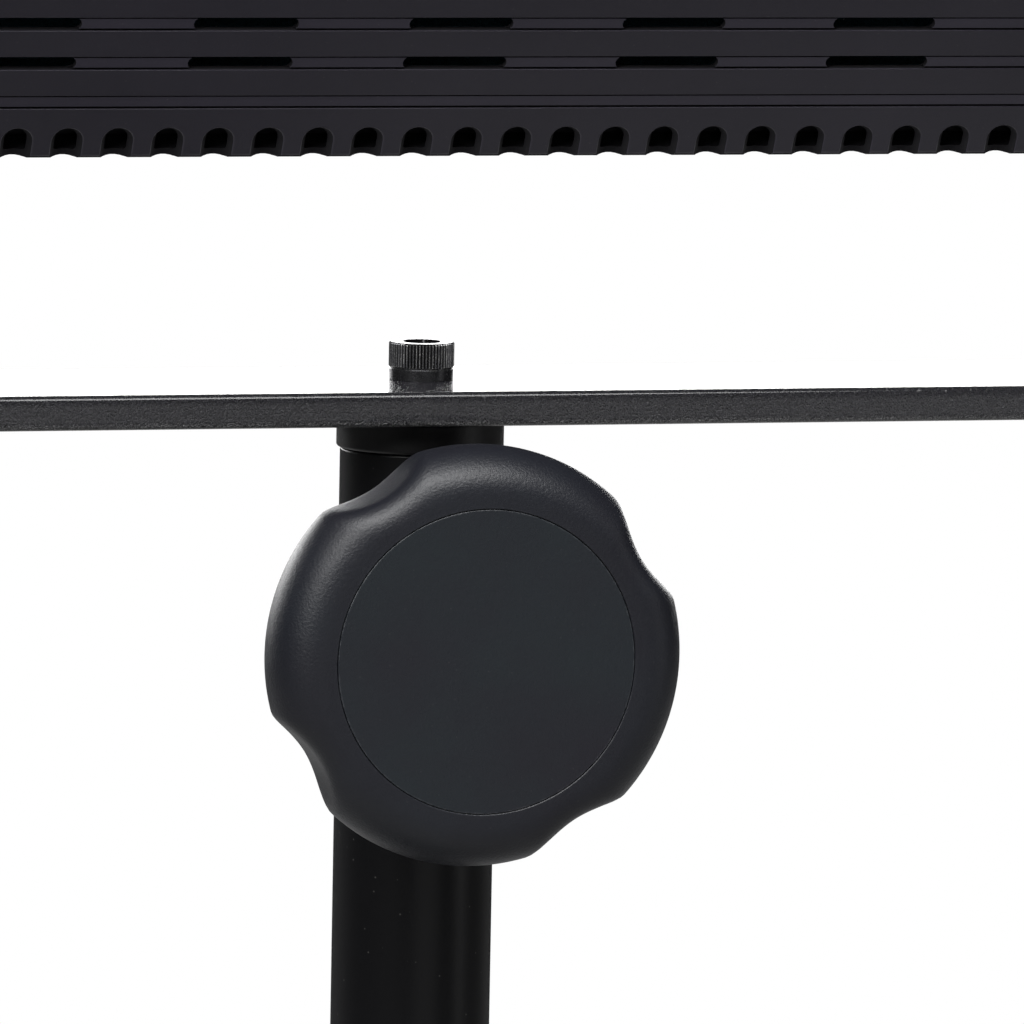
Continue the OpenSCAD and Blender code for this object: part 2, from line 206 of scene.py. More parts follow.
def round_box(x0, y0, x1, y1, r, steps=10):
    """A rectangular outline with round corners, as a function of its inset."""
    def loop(inset):
        out = []
        centres = ((x1 - r, y1 - r, 0), (x0 + r, y1 - r, 90), (x0 + r, y0 + r, 180), (x1 - r, y0 + r, 270))
        for cx, cy, a0 in centres:
            for k in range(steps + 1):
                a = math.radians(a0 + 90 * k / steps)
                out.append((cx + (r - inset) * math.cos(a), cy + (r - inset) * math.sin(a)))
        return out
    return loop


def flat_part(outer, holes, low, high, edge, steps=3):
    """Vertices and faces of a plate between two heights, with its edges rounded by edge."""
    guard = 0.3
    levels = [(edge + guard, low)]
    for k in range(steps + 1):
        a = math.pi / 2 * k / steps
        levels.append((edge * (1 - math.sin(a)), low + edge * (1 - math.cos(a))))
    levels += [(i, high + low - z) for i, z in reversed(levels)]
    verts, faces, rims = [], [], []
    for loop in [outer, *holes]:
        first = len(verts)
        count = len(loop(0))
        for inset, z in levels:
            verts += [(x, y, z) for x, y in loop(inset)]
        faces += between_loops(first, count, len(levels))
        last = first + (len(levels) - 1) * count
        rims.append((range(first, first + count), range(last, last + count)))
    for side in (0, 1):
        loops = [[Vector(verts[i]) for i in rim[side]] for rim in rims]
        index = [i for rim in rims for i in rim[side]]
        faces += [tuple(index[i] for i in tri) for tri in tessellate_polygon(loops)]
    return verts, faces


print("makers ready")

# %% [markdown]
# ## Patterns shared by the finishes
# Four effects come back on nearly every part, so each is a shader node group, built once and placed in
# every material with its own values. Grain is the fine texture of a spark-eroded mould or of a powder
# coat, and it drives a bump. Wear finds the edges, by comparing the true normal with one rounded by the
# Bevel node, and breaks the line up with noise, because paint never rubs off evenly. Dust is a sprinkle
# of tiny pale specks. Cloudy is the slow change of tone that makes a big surface look handled instead
# of computed.

# %% Tools for node trees
def add_node(tree, kind, **settings):
    """A node in a tree, with its properties set and its inputs linked or filled by name or number."""
    node = tree.nodes.new(kind)
    inputs = settings.pop("inputs", {})
    for key, value in settings.items():
        setattr(node, key, value)
    for key, value in inputs.items():
        socket = node.inputs[key]
        if isinstance(value, bpy.types.NodeSocket):
            tree.links.new(value, socket)
        else:
            socket.default_value = value
    return node


def shader_group(name, inputs, outputs):
    """An empty shader group with float inputs and outputs, and its two end nodes."""
    tree = bpy.data.node_groups.new(name, "ShaderNodeTree")
    for label, value in inputs:
        tree.interface.new_socket(label, in_out="INPUT", socket_type="NodeSocketFloat").default_value = value
    for label in outputs:
        tree.interface.new_socket(label, in_out="OUTPUT", socket_type="NodeSocketFloat")
    return tree, tree.nodes.new("NodeGroupInput").outputs, tree.nodes.new("NodeGroupOutput").inputs


def maths(tree, operation, a, b=0.0, c=0.0, clamp=False):
    """One step of arithmetic on values or sockets."""
    return add_node(tree, "ShaderNodeMath", operation=operation, use_clamp=clamp,
                    inputs={0: a, 1: b, 2: c}).outputs[0]


def blend_values(tree, factor, a, b):
    """A value that goes from a to b with the factor."""
    return add_node(tree, "ShaderNodeMix", inputs={0: factor, 2: a, 3: b}).outputs[0]


def blend_colours(tree, factor, a, b):
    """A colour that goes from a to b with the factor."""
    return add_node(tree, "ShaderNodeMix", data_type="RGBA", inputs={0: factor, 6: a, 7: b}).outputs[2]


def place_of(tree):
    """The point's own coordinates on its object, in metres."""
    return add_node(tree, "ShaderNodeTexCoord").outputs["Object"]


# %% Grain, wear, dust and cloudy tone
grain, g_in, g_out = shader_group("surface_grain", [("Scale", 4000), ("Roughness", 0.6), ("Ridge", 0.0)],
                                  ["Height", "Tone"])
noise = add_node(grain, "ShaderNodeTexNoise", inputs={
    "Vector": place_of(grain), "Scale": g_in["Scale"], "Detail": 3.0,
    "Roughness": g_in["Roughness"]}).outputs[0]
folds = maths(grain, "ABSOLUTE", maths(grain, "MULTIPLY_ADD", noise, 2.0, -1.0))
folds = maths(grain, "SUBTRACT", 1.0, maths(grain, "MULTIPLY", folds, 3.0, clamp=True))
height = blend_values(grain, g_in["Ridge"], noise, folds)
grain.links.new(height, g_out["Height"])
grain.links.new(height, g_out["Tone"])

wear, w_in, w_out = shader_group("edge_wear", [("Width", 0.0006), ("Breaks", 900), ("Amount", 0.5)], ["Mask"])
rounded = add_node(wear, "ShaderNodeBevel", samples=4, inputs={"Radius": w_in["Width"]}).outputs[0]
true = add_node(wear, "ShaderNodeNewGeometry").outputs["Normal"]
facing = add_node(wear, "ShaderNodeVectorMath", operation="DOT_PRODUCT",
                  inputs={0: rounded, 1: true}).outputs["Value"]
edge_line = maths(wear, "MULTIPLY", maths(wear, "SUBTRACT", 1.0, facing), 9.0, clamp=True)
breaks = add_node(wear, "ShaderNodeTexNoise", inputs={
    "Vector": place_of(wear), "Scale": w_in["Breaks"], "Detail": 4.0, "Roughness": 0.65}).outputs[0]
breaks = maths(wear, "MULTIPLY", maths(wear, "SUBTRACT", breaks, 0.42), 5.0, clamp=True)
worn_line = maths(wear, "MULTIPLY", edge_line, breaks)
wear.links.new(maths(wear, "MULTIPLY", worn_line, w_in["Amount"], clamp=True), w_out["Mask"])

dust, d_in, d_out = shader_group("dust_specks", [("Scale", 900), ("Amount", 0.3)], ["Mask"])
cells = add_node(dust, "ShaderNodeTexVoronoi", inputs={"Vector": place_of(dust), "Scale": d_in["Scale"]})
near = maths(dust, "MULTIPLY", maths(dust, "SUBTRACT", 0.16, cells.outputs["Distance"]), 12.0, clamp=True)
lot = add_node(dust, "ShaderNodeTexWhiteNoise", inputs={"Vector": cells.outputs["Position"]}).outputs["Value"]
speck = maths(dust, "MULTIPLY", near, maths(dust, "GREATER_THAN", lot, 0.86))
dust.links.new(maths(dust, "MULTIPLY", speck, d_in["Amount"], clamp=True), d_out["Mask"])

cloudy, c_in, c_out = shader_group("cloudy_tone", [("Scale", 14), ("Contrast", 1.0)], ["Value"])
clouds = add_node(cloudy, "ShaderNodeTexNoise", inputs={
    "Vector": place_of(cloudy), "Scale": c_in["Scale"], "Detail": 5.0, "Roughness": 0.55}).outputs[0]
swing = maths(cloudy, "MULTIPLY", maths(cloudy, "SUBTRACT", clouds, 0.5), c_in["Contrast"])
cloudy.links.new(maths(cloudy, "ADD", swing, 0.5, clamp=True), c_out["Value"])
print("shader groups:", [g.name for g in bpy.data.node_groups])

# %% [markdown]
# ## The finishes
# One maker writes every finish, because they differ in values and not in kind. It mixes two near tones
# by the cloudy value, lays the worn tone over them along the edges and the dust on top, spreads the
# roughness between two values and bumps the surface with the grain. Numbers that are the same all
# over a surface, such as the coat and the specular level, go on the shader's own sockets.

# %% Maker of finishes
DUST_TONE, DUST_ROUGH = "b9b7b2", 0.3


def shade(code):
    """A screen colour such as 2c2b30 as linear RGBA."""
    parts = [int(code[i:i + 2], 16) / 255 for i in (0, 2, 4)]
    return [p / 12.92 if p <= 0.04045 else ((p + 0.055) / 1.055) ** 2.4 for p in parts] + [1.0]


def finish(name, dark, light, rough, metal=0.0, grain_scale=4000, grain_height=0.02, ridge=0.0, worn="6e6e70",
           wear_amount=0.3, wear_width=0.5, dust_amount=0.15, clouds=14, coat=0.0, coat_rough=0.3,
           specular=0.5, worn_metal=0.0, brushed=None, contrast=1.6, mottle=0.35):
    """A Principled material. Heights and widths are in millimetres."""
    material = bpy.data.materials.new(name)
    material.use_nodes = True
    tree = material.node_tree
    shader = tree.nodes["Principled BSDF"]

    def group(which, **values):
        """The outputs of a shader group that is placed in this material with its own values."""
        node = add_node(tree, "ShaderNodeGroup", node_tree=which)
        for key, value in values.items():
            node.inputs[key].default_value = value
        return node.outputs

    tone = group(cloudy, Scale=clouds, Contrast=contrast)["Value"]
    grain_out = group(grain, Scale=grain_scale, Ridge=ridge)
    worn_mask = group(wear, Width=wear_width * MM, Amount=wear_amount)["Mask"]
    dust_mask = group(dust, Amount=dust_amount)["Mask"]
    tone = blend_values(tree, mottle, tone, grain_out["Tone"])
    colour = blend_colours(tree, tone, shade(dark), shade(light))
    colour = blend_colours(tree, worn_mask, colour, shade(worn))
    colour = blend_colours(tree, dust_mask, colour, shade(DUST_TONE))
    tree.links.new(colour, shader.inputs["Base Color"])
    level = blend_values(tree, grain_out["Tone"], rough[0], rough[1])
    level = maths(tree, "ADD", level, maths(tree, "MULTIPLY", dust_mask, DUST_ROUGH), clamp=True)
    tree.links.new(level, shader.inputs["Roughness"])
    if worn_metal:
        tree.links.new(maths(tree, "ADD", metal, maths(tree, "MULTIPLY", worn_mask, worn_metal), clamp=True),
                       shader.inputs["Metallic"])
    else:
        shader.inputs["Metallic"].default_value = metal
    height = grain_out["Height"]
    if brushed:
        stretch = add_node(tree, "ShaderNodeMapping", inputs={0: place_of(tree), "Scale": brushed}).outputs[0]
        lines = add_node(tree, "ShaderNodeTexNoise", inputs={"Vector": stretch, "Scale": 1.0, "Detail": 3.0})
        height = maths(tree, "ADD", maths(tree, "MULTIPLY", height, 0.3), lines.outputs[0])
    bump = add_node(tree, "ShaderNodeBump", inputs={"Height": height, "Distance": grain_height * MM})
    tree.links.new(bump.outputs[0], shader.inputs["Normal"])
    shader.inputs["Specular IOR Level"].default_value = specular
    shader.inputs["Coat Weight"].default_value = coat
    shader.inputs["Coat Roughness"].default_value = coat_rough
    return material


# %% Levelled paint on flat tops
def source_of(material, name):
    """The socket that feeds an input of a material's shader."""
    return material.node_tree.nodes["Principled BSDF"].inputs[name].links[0].from_socket


def scale_colour(material, gain):
    """Multiplies the colour of a material by a value or a mask."""
    tree = material.node_tree
    scaled = add_node(tree, "ShaderNodeVectorMath", operation="SCALE",
                      inputs={0: source_of(material, "Base Color"), "Scale": gain}).outputs[0]
    tree.links.new(scaled, tree.nodes["Principled BSDF"].inputs["Base Color"])


def level_on_top(material, flat=0.998, smoothed=0.85):
    """Thick paint flows out where a surface lies flat, so its upward faces get a smoother skin."""
    tree = material.node_tree
    shader = tree.nodes["Principled BSDF"]
    normal = add_node(tree, "ShaderNodeNewGeometry").outputs["Normal"]
    upward = add_node(tree, "ShaderNodeSeparateXYZ", inputs={0: normal}).outputs["Z"]
    on_top = maths(tree, "GREATER_THAN", upward, flat)
    skin = maths(tree, "SUBTRACT", 1.0, maths(tree, "MULTIPLY", on_top, smoothed))
    rough = source_of(material, "Roughness")
    tree.links.new(maths(tree, "MULTIPLY", rough, skin), shader.inputs["Roughness"])
    bump = shader.inputs["Normal"].links[0].from_node
    height = bump.inputs["Height"].links[0].from_socket
    tree.links.new(maths(tree, "MULTIPLY", height, skin), bump.inputs["Height"])


# %% The stand's finishes
wrinkle_black = finish("wrinkle_black", "131316", "38373d", (0.42, 0.22), grain_scale=1500, grain_height=0.9,
                       ridge=0.8, worn="8a898e", wear_amount=0.0, wear_width=0.9, coat=0.6, coat_rough=0.06,
                       specular=0.8, dust_amount=0.03, mottle=0.8)
level_on_top(wrinkle_black)
cover_black = finish("cover_black", "1e1b26", "2b2833", (0.34, 0.46), grain_scale=2600, grain_height=0.03,
                     worn="6a696e", wear_amount=0.05, wear_width=0.3, dust_amount=0.03, clouds=40)
panel_black = finish("panel_black", "18181b", "202024", (0.42, 0.56), grain_scale=2600, grain_height=0.03,
                     worn="5c5c60", wear_amount=0.25, clouds=7)
base_black = finish("base_black", "1c1c1f", "262629", (0.42, 0.6), grain_scale=1700, grain_height=0.07,
                    ridge=0.35, worn="66666a", wear_amount=0.3, dust_amount=0.35, clouds=8)
tube_black = finish("tube_black", "0b0b0e", "131315", (0.28, 0.4), grain_scale=3000, grain_height=0.012,
                    worn="55555a", wear_amount=0.2, clouds=20, specular=0.3)
plastic_black = finish("plastic_black", "0c0c0d", "151517", (0.36, 0.48), grain_scale=3600,
                       grain_height=0.012, worn="4a4a4d", wear_amount=0.1)
knob_grey = finish("knob_grey", "16151c", "1c1f25", (0.34, 0.52), grain_scale=2300, grain_height=0.075,
                   worn="6a6b70", wear_amount=0.05, wear_width=0.8, dust_amount=0.02, clouds=55,
                   specular=0.45, contrast=2.2, mottle=0.25)
cap_grey = finish("cap_grey", "19171f", "1a2226", (0.36, 0.5), grain_scale=2300, grain_height=0.06,
                  worn="8a8b90", wear_amount=0.3, wear_width=0.35, dust_amount=0.02, clouds=38, contrast=2.4,
                  mottle=0.25)
screw_black = finish("screw_black", "303032", "4a4a4c", (0.2, 0.32), metal=0.8, grain_scale=2500,
                     grain_height=0.01, worn="b4b4b0", wear_amount=0.6, wear_width=0.2, worn_metal=0.25)
screw_zinc = finish("screw_zinc", "7d7f82", "9a9c9e", (0.3, 0.45), metal=1.0, grain_scale=2200,
                    grain_height=0.012, worn="c4c4c4", wear_amount=0.3)
steel_drawn = finish("steel_drawn", "8b8c8f", "a2a3a6", (0.16, 0.3), metal=1.0, grain_height=0.004,
                     worn="d0d0d0", wear_amount=0.2, brushed=(9000, 9000, 60), dust_amount=0.05)
plug_alloy = finish("plug_alloy", "6c6d70", "85868a", (0.3, 0.42), metal=1.0, grain_height=0.008,
                    brushed=(300, 300, 9000), worn="c0c0c0")
pad_brass = finish("pad_brass", "8a6a30", "b08d4a", (0.25, 0.4), metal=1.0, worn="d8bd80", grain_height=0.01)
foot_rubber = finish("foot_rubber", "0d0d0d", "181817", (0.7, 0.85), grain_scale=1400, grain_height=0.05,
                     worn="3a3936", dust_amount=0.5, specular=0.3)
mat_rubber = finish("mat_rubber", "0b0b0c", "141414", (0.62, 0.8), grain_scale=1800, grain_height=0.06,
                    worn="2c2c2c", dust_amount=0.4, specular=0.3, brushed=(40, 2200, 2200))
# The liner's teal is raised about twice over: painted light for the dark inside of the desk.
liner_teal = finish("liner_teal", "172c31", "2c4a52", (0.75, 0.95), grain_scale=2600, grain_height=0.2,
                    ridge=0.6, worn="203034", dust_amount=0.9, specular=0.2)
rail_dark = finish("rail_dark", "1c1d20", "34363a", (0.4, 0.6), metal=0.6, grain_height=0.01,
                   brushed=(4000, 4000, 40), worn="b0b0b0")
nylon_black = finish("nylon_black", "0c0c0c", "141414", (0.42, 0.55), grain_scale=3000, grain_height=0.015,
                     worn="333333")
print(len(bpy.data.materials), "materials")

# %% [markdown]
# ## The post
# The post is a drawn steel tube, sprayed satin black, welded into a turned foot flange. A nylon guide
# sleeve is pressed into its top, and only the sleeve's collar shows. The boss for the clamp screw is
# welded on the side, so its inner end follows the tube's curve. All of these are round, so they are
# turned from profiles, and the boss's first ring is pushed onto the tube.

# %% Tube, collar, flange and boss
TUBE_WALL, GUIDE_BORE = 1.5, 9.6
M8_R, M8_HOLE = 4.0, 4.1
BOSS_END, BOSS_SUNK = 20, 0.04


def ring_part(r_in, r_out, low, high, edge=0.25, inner_edge=0.2):
    """The rounded profile of a ring."""
    return soften([(r_in, low), (r_out, low), (r_out, high), (r_in, high)],
                  [inner_edge, edge, edge, inner_edge])


def node_mm(node):
    """Lowest and highest corner of a CAD node in millimetres."""
    lo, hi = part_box(node)
    return lo / MM, hi / MM


def up_at(x, y, z):
    """A place in millimetres where the part stands upright."""
    return Matrix.Translation(Vector((x, y, z)) * MM)


def out_front(z):
    """A place where +z of the part points to -Y, towards the clamp side."""
    return up_at(0, 0, z) @ Matrix.Rotation(QUARTER, 4, "X")


tube_lo, tube_hi = node_mm("post_tube")
post_r = tube_hi.x
tube = ring_part(post_r - TUBE_WALL, post_r, tube_lo.z, tube_hi.z, 0.35)
dress(turned("post_tube_drawn", tube, segments=160), "base", tube_black, "post_coat", "post_tube")

collar_lo, collar_hi = node_mm("guide_sleeve")
in_tube, on_tube = post_r - TUBE_WALL - 0.02, tube_hi.z + 0.12
collar = soften([(GUIDE_BORE, collar_lo.z), (in_tube, collar_lo.z), (in_tube, on_tube),
                 (collar_hi.x, on_tube), (collar_hi.x, collar_hi.z), (GUIDE_BORE, collar_hi.z)],
                [0.3, 0.3, 0.1, 0.45, 0.5, 0.4])
dress(turned("guide_sleeve_collar", collar, segments=160), "base", plastic_black, "guide_plastic",
      "guide_sleeve")

flange_lo, flange_hi = node_mm("base_flange")
flange_z = flange_lo.z
flange = soften([(9, flange_z), (45, flange_z), (45, flange_z + 6), (17, flange_z + 6), (17, flange_hi.z),
                 (post_r + 0.06, flange_hi.z), (post_r + 0.06, flange_z + 2), (9, flange_z + 2)],
                [0.3, 0.8, 1.5, 3.5, 1.2, 0.4, 0.2, 0.3], steps=6)
dress(turned("foot_flange", flange, segments=144), "base", base_black, "base_coat", "base_flange")

knob_lo, knob_hi = node_mm("clamp_knob")
clamp_z = (node_mm("clamp_screw")[0].z + node_mm("clamp_screw")[1].z) / 2
boss_profile = soften([(M8_HOLE, 0), (9.9, 0), (9, 1.6), (9, BOSS_END), (M8_HOLE, BOSS_END)],
                      [0, 0, 0.8, 0.7, 0.4])
boss = turned("clamp_boss_weld", boss_profile, segments=96)
for v in boss.data.vertices:
    x, z, out = v.co.x, v.co.y, v.co.z
    start = math.sqrt(((post_r - BOSS_SUNK) * MM) ** 2 - x * x)
    share = out / (BOSS_END * MM)
    v.co = Vector((x, -(start + share * (BOSS_END * MM - start)), z + clamp_z * MM))
boss.data.update()
dress(boss, "base", tube_black, "post_coat", "clamp_boss")

# %% [markdown]
# ## The sliding column
# The thin column inside the post is bright drawn steel with a turned plug in its top that the yoke
# screw is threaded into. It only shows when the stand is raised, so it needs its own finish: fine
# lines along its length, from drawing through a die.

# %% Column, plug and guide
COLUMN_R, COLUMN_BORE, IN_COLUMN, THREAD_R = 9.5, 8, 7.95, 3.1
column_lo, column_hi = node_mm("inner_tube")
dress(turned("column_tube", ring_part(COLUMN_BORE, COLUMN_R, column_lo.z, column_hi.z), segments=128),
      "column", steel_drawn, "column_steel", "inner_tube")
plug_lo, plug_hi = node_mm("column_plug")
shoulder = column_hi.z + 0.02
plug = soften([(THREAD_R, plug_lo.z), (IN_COLUMN, plug_lo.z), (IN_COLUMN, shoulder), (COLUMN_R, shoulder),
               (COLUMN_R, plug_hi.z), (THREAD_R, plug_hi.z)], [0.3, 0.5, 0.05, 0.2, 0.5, 0.3])
dress(turned("column_plug_turned", plug, segments=96), "column", plug_alloy, "plug_metal", "column_plug")
guide_lo, guide_hi = node_mm("column_guide")
skirt = guide_lo.z + 3
guide = soften([(4, guide_lo.z), (guide_hi.x, guide_lo.z), (guide_hi.x, skirt), (IN_COLUMN, skirt),
                (IN_COLUMN, guide_hi.z), (4, guide_hi.z)], [0.3, 0.5, 0.2, 0.2, 0.6, 0.3])
dress(turned("column_guide_moulded", guide, segments=96), "column", plastic_black, "guide_plastic",
      "column_guide")

# %% [markdown]
# ## Screws and feet that repeat
# Screws come in sets: four in the flange, four in the desk's lugs, five along the ledge. Each set is
# one drawing repeated on a handful of points, which is what Instance on Points in Geometry Nodes is
# for. The points are the seed mesh, and the tree turns every copy a little, as hand-driven screws are
# never lined up. Realize Instances and Set Material make the result a plain mesh.

# %% The repeating tree
def geometry_tree(name, inputs):
    """An empty Geometry Nodes tree with named inputs and its two end nodes."""
    tree = bpy.data.node_groups.new(name, "GeometryNodeTree")
    tree.interface.new_socket("Geometry", in_out="INPUT", socket_type="NodeSocketGeometry")
    for label, kind, value in inputs:
        socket = tree.interface.new_socket(label, in_out="INPUT", socket_type="NodeSocket" + kind)
        if value is not None:
            socket.default_value = value
    tree.interface.new_socket("Geometry", in_out="OUTPUT", socket_type="NodeSocketGeometry")
    return tree, tree.nodes.new("NodeGroupInput").outputs, tree.nodes.new("NodeGroupOutput").inputs


def grow(seed, tree, place=Matrix(), sharp=35, **values):
    """Runs a tree on a seed object and keeps the result as the object's own plain mesh."""
    modifier = seed.modifiers.new("grow", "NODES")
    modifier.node_group = tree
    for item in tree.interface.items_tree:
        if item.in_out == "INPUT" and item.name.replace(" ", "_").lower() in values:
            modifier[item.identifier] = values[item.name.replace(" ", "_").lower()]
    depsgraph = bpy.context.evaluated_depsgraph_get()
    depsgraph.update()
    mesh = bpy.data.meshes.new_from_object(seed.evaluated_get(depsgraph), depsgraph=depsgraph)
    seed.modifiers.clear()
    mesh.transform(place)
    for polygon in mesh.polygons:
        polygon.use_smooth = True
    mesh.set_sharp_from_angle(angle=math.radians(sharp))
    mesh.name = seed.name
    seed.data = mesh
    return seed


def seed_points(name, points):
    """An object with loose points, for a tree to put copies on."""
    mesh = bpy.data.meshes.new(name)
    mesh.from_pydata([tuple(Vector(p) * MM) for p in points], [], [])
    obj = bpy.data.objects.new(name, mesh)
    bpy.context.scene.collection.objects.link(obj)
    return obj


repeat, r_in, r_out = geometry_tree("repeat_on_points", [
    ("Drawing", "Object", None), ("Most turn", "Float", 1.2), ("Seed", "Int", 4),
    ("Finish", "Material", None)])
drawing = add_node(repeat, "GeometryNodeObjectInfo", inputs={"Object": r_in["Drawing"]}).outputs["Geometry"]
turn = add_node(repeat, "FunctionNodeRandomValue", data_type="FLOAT",
                inputs={2: 0.0, 3: r_in["Most turn"], "Seed": r_in["Seed"]}).outputs[1]
turn = add_node(repeat, "ShaderNodeCombineXYZ", inputs={"Z": turn}).outputs[0]
copies = add_node(repeat, "GeometryNodeInstanceOnPoints", inputs={
    "Points": r_in["Geometry"], "Instance": drawing, "Rotation": turn}).outputs[0]
copies = add_node(repeat, "GeometryNodeRealizeInstances", inputs={0: copies}).outputs[0]
copies = add_node(repeat, "GeometryNodeSetMaterial",
                  inputs={0: copies, "Material": r_in["Finish"]}).outputs[0]
repeat.links.new(copies, r_out["Geometry"])


# %% Drawings of the screws and the feet
def hexagon(r, a):
    """The radius at angle a of a hexagon of circumradius r, for a socket's wall."""
    return r * math.cos(math.pi / 6) / math.cos((a % (math.pi / 3)) - math.pi / 6)


def spun_rows(name, rows, hex_r, segments, sharp, turn=0.0):
    """Spins (radius, height, is_hex) rows round z. A hexagonal row's radius is a share of the socket's."""
    verts = []
    for k in range(segments):
        a = 2 * math.pi * k / segments
        for r, h, is_hex in rows:
            q = r * hexagon(hex_r, a - turn) if is_hex else r
            verts.append((q * math.cos(a), q * math.sin(a), h))
    return new_object(name, verts, round_axis(segments, len(rows), closed=False), sharp=sharp)


def socket_screw(name, head_r, head_h, hex_r, hex_depth, shank_r, shank, edge=0.4, dome=0.0):
    """A screw with a round head standing on z = 0, a hexagon socket and a plain shank below."""
    outside = soften([(0, -shank), (shank_r, -shank), (shank_r, 0), (head_r, 0), (head_r, head_h - dome),
                      (hex_r + 0.5, head_h)], [0, 0.6, 0, 0.15, edge, 0], closed=False)
    rows = [(r, h, False) for r, h in outside]
    rows += [(hex_r + 0.2, head_h, False), (1.0, head_h - 0.3, True), (1.0, head_h - hex_depth, True),
             (0.0, head_h - hex_depth - 0.25, True)]
    return spun_rows(name, rows, hex_r, segments=48, sharp=30)


def repeated(name, drawing_object, points, place, body, material, slot, *nodes):
    """A dressed set: one drawing on every point, each copy turned a little."""
    seed = seed_points(name, points)
    grow(seed, repeat, place, sharp=30, drawing=drawing_object, most_turn=1.0, finish=material)
    return dress(seed, body, material, slot, *nodes)


def forget(*objects):
    """Drawings have done their work once the sets are made."""
    for obj in objects:
        bpy.data.objects.remove(obj)


# %% Screws in the foot flange
BOLT_CIRCLE = 33
m6 = socket_screw("m6_drawing", head_r=5.1, head_h=6, hex_r=2.88, hex_depth=3, shank_r=3, shank=11)
corners = [(BOLT_CIRCLE * math.cos(math.radians(a)), BOLT_CIRCLE * math.sin(math.radians(a)), 0)
           for a in (45, 135, 225, 315)]
repeated("flange_screw_set", m6, corners, up_at(0, 0, flange_z + 6), "base", screw_black, "black_screw",
         "flange_screws")

# %% Rubber feet and their screws
FOOT_R, FOOT_SEAT = 17, 3.4
foot_lo, foot_hi = node_mm("base_feet")
foot_x, foot_y = foot_hi.x - FOOT_R, foot_hi.y - FOOT_R
foot_points = [(x * foot_x, y * foot_y, 0) for x in (-1, 1) for y in (-1, 1)]
foot = soften([(5.2, 0), (12.2, 0), (12.9, 0.7), (13.6, 0), (16, 0), (FOOT_R, 1), (15, foot_hi.z),
               (2.6, foot_hi.z), (2.6, FOOT_SEAT), (5.2, FOOT_SEAT)],
              [0.3, 0.2, 0.2, 0.2, 0.6, 0.8, 0.5, 0.2, 0.2, 0.2], steps=3)
foot_drawing = turned("foot_drawing", foot, segments=72)
repeated("rubber_feet", foot_drawing, foot_points, Matrix(), "base", foot_rubber, "foot_rubber", "base_feet")
pan = socket_screw("pan_drawing", head_r=4.75, head_h=2.5, hex_r=1.7, hex_depth=1.6, shank_r=2.5, shank=9.5,
                   edge=0.8, dome=0.5)
flip = up_at(0, 0, FOOT_SEAT) @ Matrix.Rotation(math.pi, 4, "X")
repeated("foot_screw_set", pan, foot_points, flip, "base", screw_zinc, "zinc_steel", "foot_screws")

# %% The grub screw in the flange's neck
grub = socket_screw("flange_grub_screw", head_r=2.95, head_h=0.5, hex_r=1.65, hex_depth=1.8, shank_r=2.94,
                    shank=3.4, edge=0.2)
grub.data.transform(up_at(0, -(post_r + 3.5), flange_hi.z - 10) @ Matrix.Rotation(QUARTER, 4, "X"))
dress(grub, "base", screw_black, "black_screw", "grub_screw")
forget(m6, foot_drawing, pan)

# %% [markdown]
# ## The base plate
# The base is laser-cut steel plate with powder coat over its round corners. It is an outline with
# thickness, with four holes for the flange screws and four for the feet. The cut edge is broken all
# round, so the rim shows one soft line of light.

# %% Base plate
PLATE_CORNER, M6_HOLE, M5_HOLE = 40, 3.05, 2.55
plate_lo, plate_hi = node_mm("base_plate")
plate_holes = [circle(x, y, M6_HOLE, 24) for x, y, z in corners]
plate_holes += [circle(x, y, M5_HOLE, 24) for x, y, z in foot_points]
plate = flat_part(round_box(plate_lo.x, plate_lo.y, plate_hi.x, plate_hi.y, PLATE_CORNER, 16), plate_holes,
                  plate_lo.z, plate_hi.z, 0.9, steps=4)
dress(new_object("base_plate_cut", *plate, sharp=50), "base", base_black, "base_coat", "base_plate")

# %% [markdown]
# ## The yoke
# The yoke is one flat steel bar, drilled, bent up at both ends and powder coated with a fine wrinkle.
# It is made the way the shop makes it: cut flat as an outline, edges broken, and then bent. The bend
# needs edges across the bar where it turns, so the flat blank is sliced there first, and each point is
# then carried round the bend's neutral line. The slices keep the rounded edge running round the bend.

# %% Flat blank and bend
yoke_w = (yoke_hi.x - yoke_lo.x) / MM
half_w = bar_w / MM / 2
bend_in, bar_t = 8.0, BAR_T / MM
END_STEPS, BEND_SLICES, SLICE_PITCH = 32, 14, 40
neutral = bend_in + bar_t / 2
flat_end = yoke_w / 2 - bar_t - bend_in
bend_length = neutral * math.pi / 2
ear_length = (pivot.z - bar_top) / MM - bend_in
pivot_s = flat_end + bend_length + ear_length


def blank(inset):
    """The outline of the flat blank: two straight sides and two round ends."""
    r = half_w - inset
    out = []
    for side in (1, -1):
        for k in range(END_STEPS + 1):
            a = math.radians(-90 + 180 * k / END_STEPS)
            out.append((side * (pivot_s + r * math.cos(a)), side * r * math.sin(a)))
    return out


